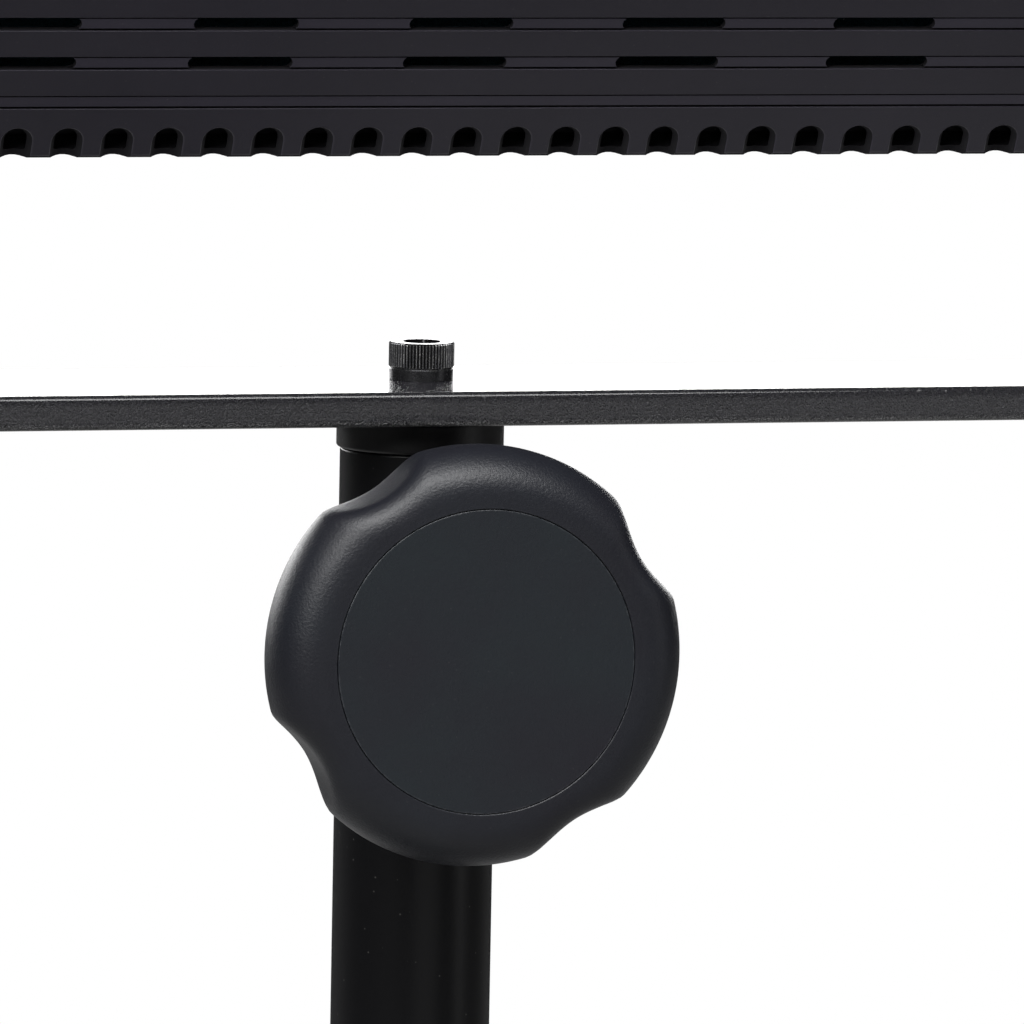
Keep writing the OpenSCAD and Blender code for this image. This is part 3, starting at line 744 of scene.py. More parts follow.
yoke_holes = [circle(0, 0, 3.2, 32), circle(pivot_s, 0, M8_HOLE, 40), circle(-pivot_s, 0, M8_HOLE, 40)]
yoke = new_object("yoke_flat_bar", *flat_part(blank, yoke_holes, 0, bar_t, 1.15, steps=5), sharp=50)
bm = bmesh.new()
bm.from_mesh(yoke.data)
stations = [flat_end + bend_length * k / BEND_SLICES for k in range(BEND_SLICES + 1)]
for s in [side * s for s in stations for side in (1, -1)] + [SLICE_PITCH * k for k in range(-3, 4)]:
    bmesh.ops.bisect_plane(bm, geom=bm.verts[:] + bm.edges[:] + bm.faces[:], dist=SLIVER,
                           plane_co=(s * MM, 0, 0), plane_no=(1, 0, 0))
for v in bm.verts:
    side = 1 if v.co.x > 0 else -1
    s, h = abs(v.co.x) / MM, v.co.z / MM
    a = min(max(s - flat_end, 0.0), bend_length) / neutral
    past = max(s - flat_end - bend_length, 0.0)
    reach = bend_in + bar_t - h
    x = min(s, flat_end) + reach * math.sin(a)
    z = h if a == 0 else bend_in + bar_t - reach * math.cos(a) + past
    v.co.x, v.co.z = side * x * MM, bar_z + z * MM
bm.to_mesh(yoke.data)
bm.free()
for polygon in yoke.data.polygons:
    polygon.use_smooth = True
yoke.data.set_sharp_from_angle(angle=math.radians(50))
dress(yoke, "yoke", wrinkle_black, "yoke_coat", "yoke_bar")
print("neutral line", round(neutral, 2), "mm, flat bar", round(2 * pivot_s, 1), "mm between tilt holes")

# %% [markdown]
# ## The yoke screw
# The screw that holds the yoke is a socket cap screw in black oxide. Its head has a knurl round the
# upper part so fingers can start it. The knurl follows a rule, one groove every six degrees, so a
# Geometry Nodes tree pushes the head's side in and out with a cosine of the angle, between two
# heights. The top chamfer and the plain band below stay smooth. The head gets a copy of the screw's
# finish with painted light: its colour is lifted on the knurl's crests, a painted highlight, and
# dimmed in its grooves, a painted shade.

# %% Knurled head
knurl, k_in, k_out = geometry_tree("knurl_round_the_head", [
    ("Grooves", "Int", 60), ("Depth", "Float", 0.1), ("Bottom", "Float", 0.0), ("Top", "Float", 1.0),
    ("Inner", "Float", 0.0), ("Finish", "Material", None)])
position = add_node(knurl, "GeometryNodeInputPosition").outputs[0]
axes = add_node(knurl, "ShaderNodeSeparateXYZ", inputs={0: position}).outputs
angle = maths(knurl, "ARCTAN2", axes["Y"], axes["X"])
wave = maths(knurl, "COSINE", maths(knurl, "MULTIPLY", angle, k_in["Grooves"]))
wave = maths(knurl, "MULTIPLY_ADD", wave, 0.5, -0.5)
across = add_node(knurl, "ShaderNodeVectorMath", operation="MULTIPLY",
                  inputs={0: position, 1: (1, 1, 0)}).outputs[0]
outward = add_node(knurl, "ShaderNodeVectorMath", operation="NORMALIZE", inputs={0: across}).outputs[0]
far_out = add_node(knurl, "ShaderNodeVectorMath", operation="LENGTH", inputs={0: across}).outputs["Value"]
on_band = maths(knurl, "MULTIPLY", maths(knurl, "GREATER_THAN", axes["Z"], k_in["Bottom"]),
                maths(knurl, "LESS_THAN", axes["Z"], k_in["Top"]))
on_band = maths(knurl, "MULTIPLY", on_band, maths(knurl, "GREATER_THAN", far_out, k_in["Inner"]))
push = maths(knurl, "MULTIPLY", maths(knurl, "MULTIPLY", wave, k_in["Depth"]), on_band)
push = add_node(knurl, "ShaderNodeVectorMath", operation="SCALE",
                inputs={0: outward, "Scale": push}).outputs[0]
moved = add_node(knurl, "GeometryNodeSetPosition", inputs={0: k_in["Geometry"], "Offset": push}).outputs[0]
moved = add_node(knurl, "GeometryNodeRealizeInstances", inputs={0: moved}).outputs[0]
moved = add_node(knurl, "GeometryNodeSetMaterial", inputs={0: moved, "Material": k_in["Finish"]}).outputs[0]
knurl.links.new(moved, k_out["Geometry"])


def cap_head(name, head_r, head_h, hex_r, hex_depth, segments):
    """A cap screw's head with the rows that its knurl needs, standing on z = 0."""
    rows = [(r, h, False) for r, h in soften(
        [(0, 0), (head_r - 0.05, 0), (head_r - 0.02, 1.75), (head_r - 0.14, 1.85), (head_r - 0.14, 2.05),
         (head_r, 2.15), (head_r, head_h - 0.25), (head_r - 0.3, head_h), (hex_r + 0.55, head_h)],
        [0, 0.15, 0.05, 0.03, 0.03, 0.05, 0.08, 0.1, 0], steps=2, closed=False)]
    rows += [(hex_r + 0.4, head_h, False), (hex_r + 0.25, head_h - 0.06, False), (1.0, head_h - 0.5, True),
             (1.0, head_h - hex_depth, True), (0.0, head_h - hex_depth - 0.5, True)]
    return spun_rows(name, rows, hex_r, segments, sharp=28, turn=math.radians(8))


def knurl_with_painted_light(material, low, valley, crest):
    """A copy of a screw's finish with painted light on the knurl: a painted highlight on its crests and
    painted shade in its grooves.
    """
    copy = material.copy()
    copy.name = material.name + "_knurled"
    tree = copy.node_tree
    axes = add_node(tree, "ShaderNodeSeparateXYZ", inputs={0: place_of(tree)}).outputs
    out = maths(tree, "SQRT", maths(tree, "ADD", maths(tree, "POWER", axes["X"], 2.0),
                                    maths(tree, "POWER", axes["Y"], 2.0)))
    crest_light_groove_shade = add_node(tree, "ShaderNodeMapRange", inputs={
        "Value": out, "From Min": valley, "From Max": crest, "To Min": -0.8, "To Max": 2.4}).outputs[0]
    painted_knurl_gain = maths(tree, "MULTIPLY", crest_light_groove_shade, maths(tree, "GREATER_THAN", axes["Z"], low))
    # Painted light: the colour is up to 3.4 times as bright out on the crests and a fifth of it down in the
    # grooves.
    scale_colour(copy, maths(tree, "ADD", 1.0, painted_knurl_gain))
    return copy


# %% The yoke's screw
HEAD_R, KNURL_LOW, KNURL_HIGH, KNURL_DEEP = 5.2, 2.15, 5.97, 0.3
# The black screw's finish with a painted highlight on the knurl's crests and painted shade in its grooves.
screw_painted_knurl = knurl_with_painted_light(screw_black, bar_top + KNURL_LOW * MM, 4.93 * MM, 5.18 * MM)
head = cap_head("yoke_cap_screw", HEAD_R, head_h=6, hex_r=2.88, hex_depth=3, segments=360)
grow(head, knurl, up_at(0, 0, bar_top / MM), sharp=28, grooves=60, depth=KNURL_DEEP * MM,
     bottom=KNURL_LOW * MM, top=KNURL_HIGH * MM, inner=4.8 * MM, finish=screw_painted_knurl)
tip, neck = bar_top / MM - 24, bar_top / MM + 0.1
shank_profile = soften([(0, tip), (3, tip), (3, neck), (0, neck)], [0, 0.6, 0.1, 0], closed=False)
shank = turned("yoke_screw_shank", shank_profile, segments=48)
dress(shank, "yoke", screw_black, "black_screw")
dress(head, "yoke", screw_painted_knurl, "black_screw", "yoke_screw")

# %% [markdown]
# ## The lobed knobs
# The clamp knob is a moulded disc with four thumb scoops and a flush cap over its screw. Its shape
# follows a rule that is easy to write and hard to model by hand: turn a rounded profile, press four
# cylinders into its rim, and let the meeting edges melt into each other. Here each ray from the axis
# takes the nearer of the two surfaces, with a smooth minimum that gives the soft edge a moulding has.
# The same rule, made smaller, gives the two tilt knobs.

# %% Knob rule
KNOB_R, CAP_T, INSERT_R = 33.1, 2, 4.01
SCOOP_R, SCOOP_BITE = 0.463, 0.097


def soft_min(a, b, melt):
    """The smaller of two lengths, blended where they are nearly equal."""
    h = np.clip(0.5 + 0.5 * (b - a) / melt, 0, 1)
    return b * (1 - h) + a * h - melt * h * (1 - h)


def lobed(name, r, depth, cap_r, phase, place, segments=288, melt=2.0):
    """A four-scoop knob with its back on z = 0 and its front face at z = depth, as a closed mesh."""
    k = r / KNOB_R
    quarter = [math.pi / 2 * step / 12 for step in range(13)]
    rim = [(INSERT_R, 0), (0.34 * r, 0), (0.36 * r, 0.22 * depth)]
    rim += [(0.86 * r + 0.14 * r * math.sin(t), (0.6 - 0.38 * math.cos(t)) * depth) for t in quarter]
    rim += [(0.78 * r + 0.22 * r * math.cos(t), (0.6 + 0.4 * math.sin(t)) * depth) for t in quarter[1:]]
    rim += [(0.76 * r, depth), (cap_r + 0.22, depth), (cap_r + 0.1, depth - 0.12),
            (cap_r + 0.1, depth - CAP_T), (INSERT_R, depth - CAP_T)]
    plain = len(quarter) * 2
    profile = np.array(soften(rim, [0.3, 1.2 * k, 1.0 * k] + [0] * plain + [0.05, 0.04, 0.1, 0.1], steps=4))
    scoop, centre = SCOOP_R * r, r * (1 - SCOOP_BITE) + SCOOP_R * r
    angles = 2 * np.pi * np.arange(segments) / segments
    off = (angles - math.radians(phase) + np.pi / 4) % (np.pi / 2) - np.pi / 4
    inside = scoop ** 2 - (centre * np.sin(off)) ** 2
    wall = np.where(inside > 0, centre * np.cos(off) - np.sqrt(np.maximum(inside, 0)), 10 * r)
    fillet = 4.2 * k
    to_front = np.clip(depth - profile[:, 1], 0, fillet)
    to_back = np.clip(profile[:, 1] - 0.2 * depth, 0, fillet)
    front_round, back_round = (fillet - np.sqrt(np.maximum(fillet ** 2 - (fillet - t) ** 2, 0))
                               for t in (to_front, to_back))
    draw_in = front_round + 0.5 * back_round
    verts = []
    for a, w in zip(angles, wall):
        radius = profile[:, 0].copy()
        rim_rows = radius > 0.75 * r
        radius[rim_rows] = soft_min(radius[rim_rows], w - draw_in[rim_rows], melt * k)
        verts += [(q * math.cos(a), q * math.sin(a), h) for q, h in zip(radius, profile[:, 1])]
    return new_object(name, verts, round_axis(segments, len(profile)), place, sharp=35)


def pin(name, r, low, high, low_edge, high_edge, place, segments):
    """A round bar or disc between two heights, with its rims rounded."""
    profile = soften([(0, low), (r, low), (r, high), (0, high)], [0, low_edge, high_edge, 0], closed=False)
    return turned(name, profile, place, segments)


def knob_cap(name, r, front, place):
    """The flush cap: a disc with a fine rounded rim."""
    return pin(name, r, front - CAP_T, front, 0.3, 0.12, place, 192)


# %% Clamp knob, cap, screw and shoe
KNOB_CAP_R, KNOB_TURN, CAP_SUNK = 23.8, 31.5, 0.06
back_y, front_y = -knob_hi.y, -knob_lo.y
outward_at = out_front(clamp_z)
dress(lobed("clamp_knob_moulded", KNOB_R, front_y - back_y, KNOB_CAP_R, KNOB_TURN,
            outward_at @ up_at(0, 0, back_y)), "clamp_handle", knob_grey, "knob_plastic", "clamp_knob")
dress(knob_cap("clamp_knob_cap_flush", KNOB_CAP_R, front_y - CAP_SUNK, outward_at), "clamp_handle", cap_grey,
      "cap_plastic", "clamp_knob_cap")
rod_lo, rod_hi = node_mm("clamp_screw")
rod = pin("clamp_screw_rod", M8_R, -rod_hi.y, -rod_lo.y, 0.7, 0.5, outward_at, 64)
dress(rod, "clamp_handle", screw_zinc, "zinc_steel", "clamp_screw")
shoe_lo, shoe_hi = node_mm("clamp_pad")
shoe = pin("clamp_shoe_brass", 3.5, -shoe_hi.y, -shoe_lo.y, 0.3, 0.4, outward_at, 48)
dress(shoe, "clamp_shoe", pad_brass, "brass_pad", "clamp_pad")
print("clamp knob", round(2 * KNOB_R, 1), "mm across,", round(front_y - back_y, 1), "mm deep")

# %% Tilt knobs, studs and washers on both sides
TILT_KNOB_R, TILT_CAP_R, TILT_TURN = 20, 14.2, 45
WASHER_BORE, WASHER_R = 4.2, 12
SIDES = ((-1, "left"), (1, "right"))


def along_axis(node):
    """How far from the middle a node on the tilt axis begins and ends, in millimetres."""
    lo, hi = node_mm(node)
    return sorted((abs(lo.x), abs(hi.x)))


for side, word in SIDES:
    turn_out = Matrix.Translation(pivot) @ Matrix.Rotation(side * QUARTER, 4, "Y")
    near, far = along_axis("tilt_knob_" + word)
    handle, washer = "tilt_handle_" + word, "tilt_washer_" + word
    dress(lobed("tilt_knob_moulded_" + word, TILT_KNOB_R, far - near, TILT_CAP_R, TILT_TURN,
                turn_out @ up_at(0, 0, near), 192), handle, knob_grey, "knob_plastic", "tilt_knob_" + word)
    dress(knob_cap("tilt_knob_cap_flush_" + word, TILT_CAP_R, far - CAP_SUNK, turn_out), handle, cap_grey,
          "cap_plastic", "tilt_knob_cap_" + word)
    low, high = along_axis("tilt_stud_" + word)
    dress(pin("tilt_stud_rod_" + word, M8_R, low, high, 0.6, 0.6, turn_out, 64), handle, screw_zinc,
          "zinc_steel", "tilt_stud_" + word)
    for node, body, name in (("ear_washer_", washer, "ear_washer_nylon_"),
                             ("friction_washer_", "desk", "friction_washer_nylon_")):
        low, high = along_axis(node + word)
        dress(turned(name + word, ring_part(WASHER_BORE, WASHER_R, low, high, 0.3), turn_out, 96), body,
              nylon_black, "washer_nylon", node + word)

# %% [markdown]
# ## The desk's rear cover
# The back of the desk is a thin ribbed cover. Channels run its whole width in a band along each long
# edge: each is a floor, almost level with the ribs, between two fine grooves. The floors' colour is
# lifted, a painted lightening against the shade in the channels, and everything that lies deeper than
# the floors, such as the grooves, the scoops and the slots' walls, is dimmed, a painted shade in the
# recesses. Ventilation slots are cut through the channel floors, and the long edges carry a row of
# round-topped scoops. All of it repeats by a rule, so Geometry Nodes do it. The blank is one section
# run along the width, with the channels already in it and the ribs' corners broken. The tree sets slot
# cutters on a grid and scoop cutters on two lines, and takes them all away in one boolean.

# %% Section of the cover
desk_x0, desk_x1 = cover_lo.x / MM, cover_hi.x / MM
rear, low_z, top_z = cover_lo.y / MM, cover_lo.z / MM, cover_hi.z / MM
cover_front = cover_hi.y / MM
RIB_PITCH, FIRST_CHANNEL, CHANNEL_H, WALL, END_INSET = 7.7, 11.6, 2.6, 1.2, 0.6
FLOOR_DEEP, GROOVE_DEEP, UPPER_GROOVE, LOWER_GROOVE = 0.12, 0.85, 0.25, 0.42
VENT_ROWS = 6


def channel_heights():
    """Centre heights of every channel, from the lower edge up."""
    low = [low_z + FIRST_CHANNEL + k * RIB_PITCH for k in range(VENT_ROWS + 1)]
    return low + [top_z + low_z - z for z in reversed(low)]


section = [(cover_front, top_z), (rear, top_z)]
radii = [0.3, 1.5]
floor_y, groove_y = rear + FLOOR_DEEP, rear + GROOVE_DEEP
for z in reversed(channel_heights()):
    up, down = z + CHANNEL_H / 2, z - CHANNEL_H / 2
    section += [(rear, up), (groove_y, up), (groove_y, up - UPPER_GROOVE), (floor_y, up - UPPER_GROOVE)]
    section += [(floor_y, down + LOWER_GROOVE), (groove_y, down + LOWER_GROOVE), (groove_y, down),
                (rear, down)]
    radii += [0.08, 0, 0, 0.06, 0.06, 0, 0, 0.06]
section += [(rear, low_z), (cover_front, low_z), (cover_front, low_z + WALL), (rear + WALL, low_z + WALL),
            (rear + WALL, top_z - WALL), (cover_front, top_z - WALL)]
radii += [1.5, 0.3, 0.3, 0.8, 0.8, 0.3]


def run_along_x(name, points, x0, x1, place=desk_place):
    """A section of (y, z) points run along x and closed at both ends."""
    verts = [(x, y, z) for x in (x0, x1) for y, z in points]
    return new_object(name, verts, capped_loops(len(points), 2), place, sharp=35)


cover = run_along_x("rear_cover_ribbed", soften(section, radii, steps=3), desk_x0 + END_INSET,
                    desk_x1 - END_INSET, Matrix())
print("section of", len(section), "corners and", len(channel_heights()), "channels")

# %% Cutters for the slots and the scoops
SLOT_LENGTH, SLOT_WIDTH, SLOT_DEEP = 17.7, CHANNEL_H - 0.06, 6
SCOOP_WIDTH, SCOOP_HEIGHT, SCOOP_DEEP = 5.1, 6.4, 2.0


def slot_cutter(length, width, deep):
    """A stadium prism from in front of the cover to behind it."""
    steps, half, r = 6, (length - width) / 2, width / 2
    loop = [(side * (half + r * math.cos(a)), side * r * math.sin(a)) for side in (1, -1)
            for a in (math.pi * (k / steps - 0.5) for k in range(steps + 1))]
    verts = [(x, y, z) for y in (-deep / 2, deep / 2) for x, z in loop]
    return new_object("slot_cutter", verts, capped_loops(len(loop), 2))


def scoop_cutter(width, height, deep, below):
    """A round-topped scoop: arches that shrink with depth, with a flared mouth that rounds the teeth."""
    ball = (width ** 2 / 4 + deep ** 2) / (2 * deep)
    levels = [(-1.0, width / 2 + 0.42), (0.0, width / 2 + 0.26)]
    for share, flare in ((0.06, 0.12), (0.2, 0), (0.45, 0), (0.68, 0), (0.86, 0), (0.985, 0)):
        d = share * deep
        levels.append((d, math.sqrt(ball ** 2 - (d + ball - deep) ** 2) + flare))
    centre = height - width / 2
    verts, steps = [], 10
    for d, r in levels:
        arch = [(r * math.cos(math.pi * k / steps), centre + r * math.sin(math.pi * k / steps))
                for k in range(steps + 1)]
        verts += [(x, d, z) for x, z in [(r, -below)] + arch + [(-r, -below)]]
    return new_object("scoop_cutter", verts, capped_loops(steps + 3, len(levels)))


slot_tool = slot_cutter(SLOT_LENGTH, SLOT_WIDTH, SLOT_DEEP)
scoop_tool = scoop_cutter(SCOOP_WIDTH, SCOOP_HEIGHT, SCOOP_DEEP, below=1.0)

# %% Channels' painted light and shade
def paint_channel_light_and_shade(material, inward, face, floor_deep, floor_light=0.6, groove_shade=1.35, dull=0.95):
    """Lifts the colour of the channels' floors, a painted lightening, and dims and dulls all that lies
    deeper, a painted shade; told apart by depth.
    """
    tree = material.node_tree
    along = add_node(tree, "ShaderNodeVectorMath", operation="DOT_PRODUCT",
                     inputs={0: place_of(tree), 1: inward}).outputs["Value"]
    depth = maths(tree, "DIVIDE", maths(tree, "SUBTRACT", along, face), floor_deep)
    sunk = maths(tree, "GREATER_THAN", depth, 0.7)
    groove = maths(tree, "GREATER_THAN", depth, 1.3)
    floors = maths(tree, "ADD", 1.0, maths(tree, "MULTIPLY", sunk, floor_light))
    # Painted light and shade: the floors get 1.6 times the colour, and all that lies deeper a quarter of it.
    scale_colour(material, maths(tree, "SUBTRACT", floors, maths(tree, "MULTIPLY", groove, groove_shade)))
    rough = maths(tree, "MAXIMUM", source_of(material, "Roughness"), maths(tree, "MULTIPLY", groove, dull))
    tree.links.new(rough, tree.nodes["Principled BSDF"].inputs["Roughness"])


# The cover's finish gets painted light on its floors and painted shade in its recesses.
inward = (desk_place.to_3x3() @ Vector((0, 1, 0))).normalized()
paint_channel_light_and_shade(cover_black, inward, (desk_place @ Vector((0, rear * MM, 0))).dot(inward), FLOOR_DEEP * MM)
print("channel floors lie", FLOOR_DEEP, "mm behind the ribs, their grooves", GROOVE_DEEP, "mm")

# %% Tree of the vents and scoops
vents, v_in, v_out = geometry_tree("vents_and_scoops", [
    ("Slot", "Object", None), ("Scoop", "Object", None), ("Slot pitch", "Float", 0.0363),
    ("Shift", "Float", 0.021), ("Columns", "Int", 13), ("Rows", "Int", 6), ("Row pitch", "Float", 0.0077),
    ("Low row", "Float", -0.05), ("High row", "Float", 0.2), ("Scoop pitch", "Float", 0.00846),
    ("Scoops", "Int", 57), ("Rear", "Float", 0.024), ("Low edge", "Float", -0.1),
    ("High edge", "Float", 0.24), ("Finish", "Material", None)])


def shape_of(socket):
    """The geometry of an object that is given to the tree."""
    return add_node(vents, "GeometryNodeObjectInfo", inputs={"Object": socket}).outputs["Geometry"]


def spread(pitch, count):
    """The length from the first to the last of a row of copies."""
    return maths(vents, "MULTIPLY", v_in[pitch], maths(vents, "SUBTRACT", v_in[count], 1.0))


slot_shape, scoop_shape = shape_of(v_in["Slot"]), shape_of(v_in["Scoop"])
grid = add_node(vents, "GeometryNodeMeshGrid", inputs={
    "Size X": spread("Slot pitch", "Columns"), "Size Y": spread("Row pitch", "Rows"),
    "Vertices X": v_in["Columns"], "Vertices Y": v_in["Rows"]}).outputs[0]
scoop_start = maths(vents, "MULTIPLY", spread("Scoop pitch", "Scoops"), -0.5)
scoop_step = add_node(vents, "ShaderNodeCombineXYZ", inputs={"X": v_in["Scoop pitch"]}).outputs[0]
cutters = []
for row, edge, flip_over in (("Low row", "Low edge", 0.0), ("High row", "High edge", math.pi)):
    middle = add_node(vents, "ShaderNodeCombineXYZ", inputs={
        "X": v_in["Shift"], "Y": v_in["Rear"], "Z": v_in[row]}).outputs[0]
    points = add_node(vents, "GeometryNodeTransform", inputs={
        "Geometry": grid, "Translation": middle, "Rotation": (math.pi / 2, 0, 0)}).outputs[0]
    cutters.append(add_node(vents, "GeometryNodeInstanceOnPoints", inputs={
        "Points": points, "Instance": slot_shape}).outputs[0])
    start = add_node(vents, "ShaderNodeCombineXYZ", inputs={
        "X": scoop_start, "Y": v_in["Rear"], "Z": v_in[edge]}).outputs[0]
    line = add_node(vents, "GeometryNodeMeshLine", inputs={
        "Count": v_in["Scoops"], "Start Location": start, "Offset": scoop_step}).outputs[0]
    cutters.append(add_node(vents, "GeometryNodeInstanceOnPoints", inputs={
        "Points": line, "Instance": scoop_shape, "Rotation": (0.0, flip_over, 0.0)}).outputs[0])
all_cutters = vents.nodes.new("GeometryNodeJoinGeometry")
for cutter in cutters:
    vents.links.new(cutter, all_cutters.inputs[0])
real_cutters = add_node(vents, "GeometryNodeRealizeInstances", inputs={0: all_cutters.outputs[0]}).outputs[0]
cut = add_node(vents, "GeometryNodeMeshBoolean", operation="DIFFERENCE", solver="MANIFOLD",
               inputs={"Mesh 1": v_in["Geometry"], "Mesh 2": real_cutters})
result = add_node(vents, "GeometryNodeRealizeInstances", inputs={0: cut.outputs[0]}).outputs[0]
result = add_node(vents, "GeometryNodeSetMaterial", inputs={0: result, "Material": v_in["Finish"]}).outputs[0]
vents.links.new(result, v_out["Geometry"])

# %% Vents and scoops cut in the cover
SLOT_PITCH, SLOT_SHIFT, SLOT_COLUMNS = 36.3, 21.05, 13
SCOOP_PITCH, SCOOPS = 8.46, 57
row_middle = (FIRST_CHANNEL + (VENT_ROWS + 1) / 2 * RIB_PITCH) * MM
grow(cover, vents, desk_place, sharp=32, slot=slot_tool, scoop=scoop_tool, slot_pitch=SLOT_PITCH * MM,
     shift=SLOT_SHIFT * MM, columns=SLOT_COLUMNS, rows=VENT_ROWS, row_pitch=RIB_PITCH * MM,
     low_row=low_z * MM + row_middle, high_row=top_z * MM - row_middle, scoop_pitch=SCOOP_PITCH * MM,
     scoops=SCOOPS, rear=rear * MM, low_edge=low_z * MM, high_edge=top_z * MM, finish=cover_black)
forget(slot_tool, scoop_tool)
dress(cover, "desk", cover_black, "cover_plastic", "desk_rear_cover")

# %% [markdown]
# ## The cover's side walls
# The section is open at both ends, so a thin side wall closes each, set in a little behind the ribs as
# a separate strip. A rounded rectangle with a rounded edge is enough.

# %% Side walls
stand_up = desk_place @ Matrix.Rotation(QUARTER, 4, "Z") @ Matrix.Rotation(QUARTER, 4, "X")
for side, word in SIDES:
    wall_x = desk_x1 - WALL if side > 0 else desk_x0
    strip = flat_part(round_box(rear + 1, low_z + 1, cover_front, top_z - 1, 1.2, 6), [],
                      wall_x, wall_x + WALL, 0.3)
    dress(new_object("cover_side_wall_" + word, *strip, stand_up), "desk", cover_black, "cover_plastic",
          "desk_rear_cover")

# %% [markdown]
# ## The front of the desk
# The musician's side is a plain steel panel with its edges folded back into the cover, a shelf folded
# from one strip and screwed to its foot, two plastic end caps and a rubber mat. Folded sheet has a
# small outside radius at each bend, so the shelf is a rounded section run along the width.

# %% Panel and folded rim
SHEET, RIM_IN, RIM_DEEP = 1.5, WALL + 0.3, 6
behind = desk_place @ Matrix.Rotation(QUARTER, 4, "X")
front = cover_front + SHEET


def desk_frame(inset, r, steps):
    """The desk's outline drawn in by an inset, with round corners."""
    return round_box(desk_x0 + inset, low_z + inset, desk_x1 - inset, top_z - inset, r, steps)


def rim_hole(inset):
    """The opening inside the folded rim, which opens out with the inset."""
    return desk_frame(RIM_IN + SHEET, 1.5, 4)(-inset)


panel = flat_part(desk_frame(0, 4, 8), [], -front, -cover_front, 0.45, steps=4)
dress(new_object("front_panel_sheet", *panel, behind), "desk", panel_black, "panel_coat", "desk_front_panel")
rim = flat_part(desk_frame(RIM_IN, 2.5, 4), [rim_hole], -(cover_front + 0.02), -(cover_front - RIM_DEEP), 0.2)
dress(new_object("front_panel_rim", *rim, behind), "desk", panel_black, "panel_coat", "desk_front_panel")

# %% Ledge, its ends and its mat
LIP_H, FOLD_H, LEDGE_INSET, CHEEK_T = 16, 30, 2, 1.96
lip, lip_z, fold_z = desk_box("desk_ledge")[1].y / MM, low_z + LIP_H, low_z + FOLD_H
ledge = soften([(front, low_z), (lip, low_z), (lip, lip_z), (lip - SHEET, lip_z),
                (lip - SHEET, low_z + SHEET), (front + SHEET, low_z + SHEET), (front + SHEET, fold_z),
                (front, fold_z)],
               [2.0, 2.0, 0.5, 0.5, 0.5, 0.5, 0.5, 0.5], steps=6)
dress(run_along_x("ledge_folded", ledge, desk_x0 + LEDGE_INSET, desk_x1 - LEDGE_INSET), "desk", panel_black,
      "panel_coat", "desk_ledge")
end_shape = soften([(front, low_z), (lip, low_z), (lip, lip_z - 0.6), (lip - 6, lip_z), (front + 8, fold_z),
                    (front, fold_z)], [0.6, 3.4, 1.2, 3, 5, 1.2], steps=5)


def drawn_in(points):
    """An outline from points, drawn in along the mean of the two sides at each point."""
    def loop(inset):
        out = []
        for i, p in enumerate(points):
            before, after = Vector(points[i - 1]), Vector(points[(i + 1) % len(points)])
            a, b = (Vector(p) - before).normalized(), (after - Vector(p)).normalized()
            side_a, side_b = Vector((-a.y, a.x)), Vector((-b.y, b.x))
            mean = (side_a + side_b).normalized()
            out.append(tuple(Vector(p) + mean * inset / max(mean.dot(side_a), 0.3)))
        return out
    return loop


for side, word in SIDES:
    out_x = desk_x0 if side < 0 else desk_x1 - CHEEK_T
    cheek = flat_part(drawn_in(end_shape), [], out_x, out_x + CHEEK_T, 0.35)
    dress(new_object("ledge_cheek_" + word, *cheek, stand_up), "desk", plastic_black, "cover_plastic",
          "ledge_end_" + word)
mat_lo, mat_hi = desk_box("ledge_mat")
mat = flat_part(round_box(mat_lo.x / MM, mat_lo.y / MM, mat_hi.x / MM, mat_hi.y / MM, 3, 6), [],
                mat_lo.z / MM, mat_hi.z / MM, 0.25)
dress(new_object("ledge_rubber_mat", *mat, desk_place), "desk", mat_rubber, "ledge_rubber", "ledge_mat")

# %% Tilt lugs behind the desk
LUG_R, LUG_T, LUG_FOOT, LUG_FOOT_T = 13, 16, 32, 5
LUG_SCREW_X, LUG_SCREW_Z = 122, 19
for side, word in SIDES:
    lo, hi = desk_box("tilt_lug_" + word)
    out_x = hi.x / MM if side > 0 else lo.x / MM
    foot_x0, eye_x0 = (out_x - LUG_FOOT, out_x - LUG_T) if side > 0 else (out_x, out_x)
    eye = [(LUG_R * math.cos(a), LUG_R * math.sin(a))
           for a in (math.pi / 2 + math.pi * k / 24 for k in range(25))]
    eye += [(rear - 1, -LUG_R), (rear - 1, LUG_R)]
    lug = flat_part(drawn_in(eye), [circle(0, 0, M8_HOLE, 40)], eye_x0, eye_x0 + LUG_T, 0.8)
    dress(new_object("tilt_lug_eye_" + word, *lug, stand_up), "desk", tube_black, "lug_coat",
          "tilt_lug_" + word)
    lug_holes = [circle(side * LUG_SCREW_X, z, 2.7, 24) for z in (LUG_SCREW_Z, -LUG_SCREW_Z)]
    lug_foot = flat_part(round_box(foot_x0, -30, foot_x0 + LUG_FOOT, 30, 4, 6), lug_holes, -rear,
                         LUG_FOOT_T - rear, 0.6)
    dress(new_object("tilt_lug_foot_" + word, *lug_foot, behind), "desk", tube_black, "lug_coat",
          "tilt_lug_" + word)

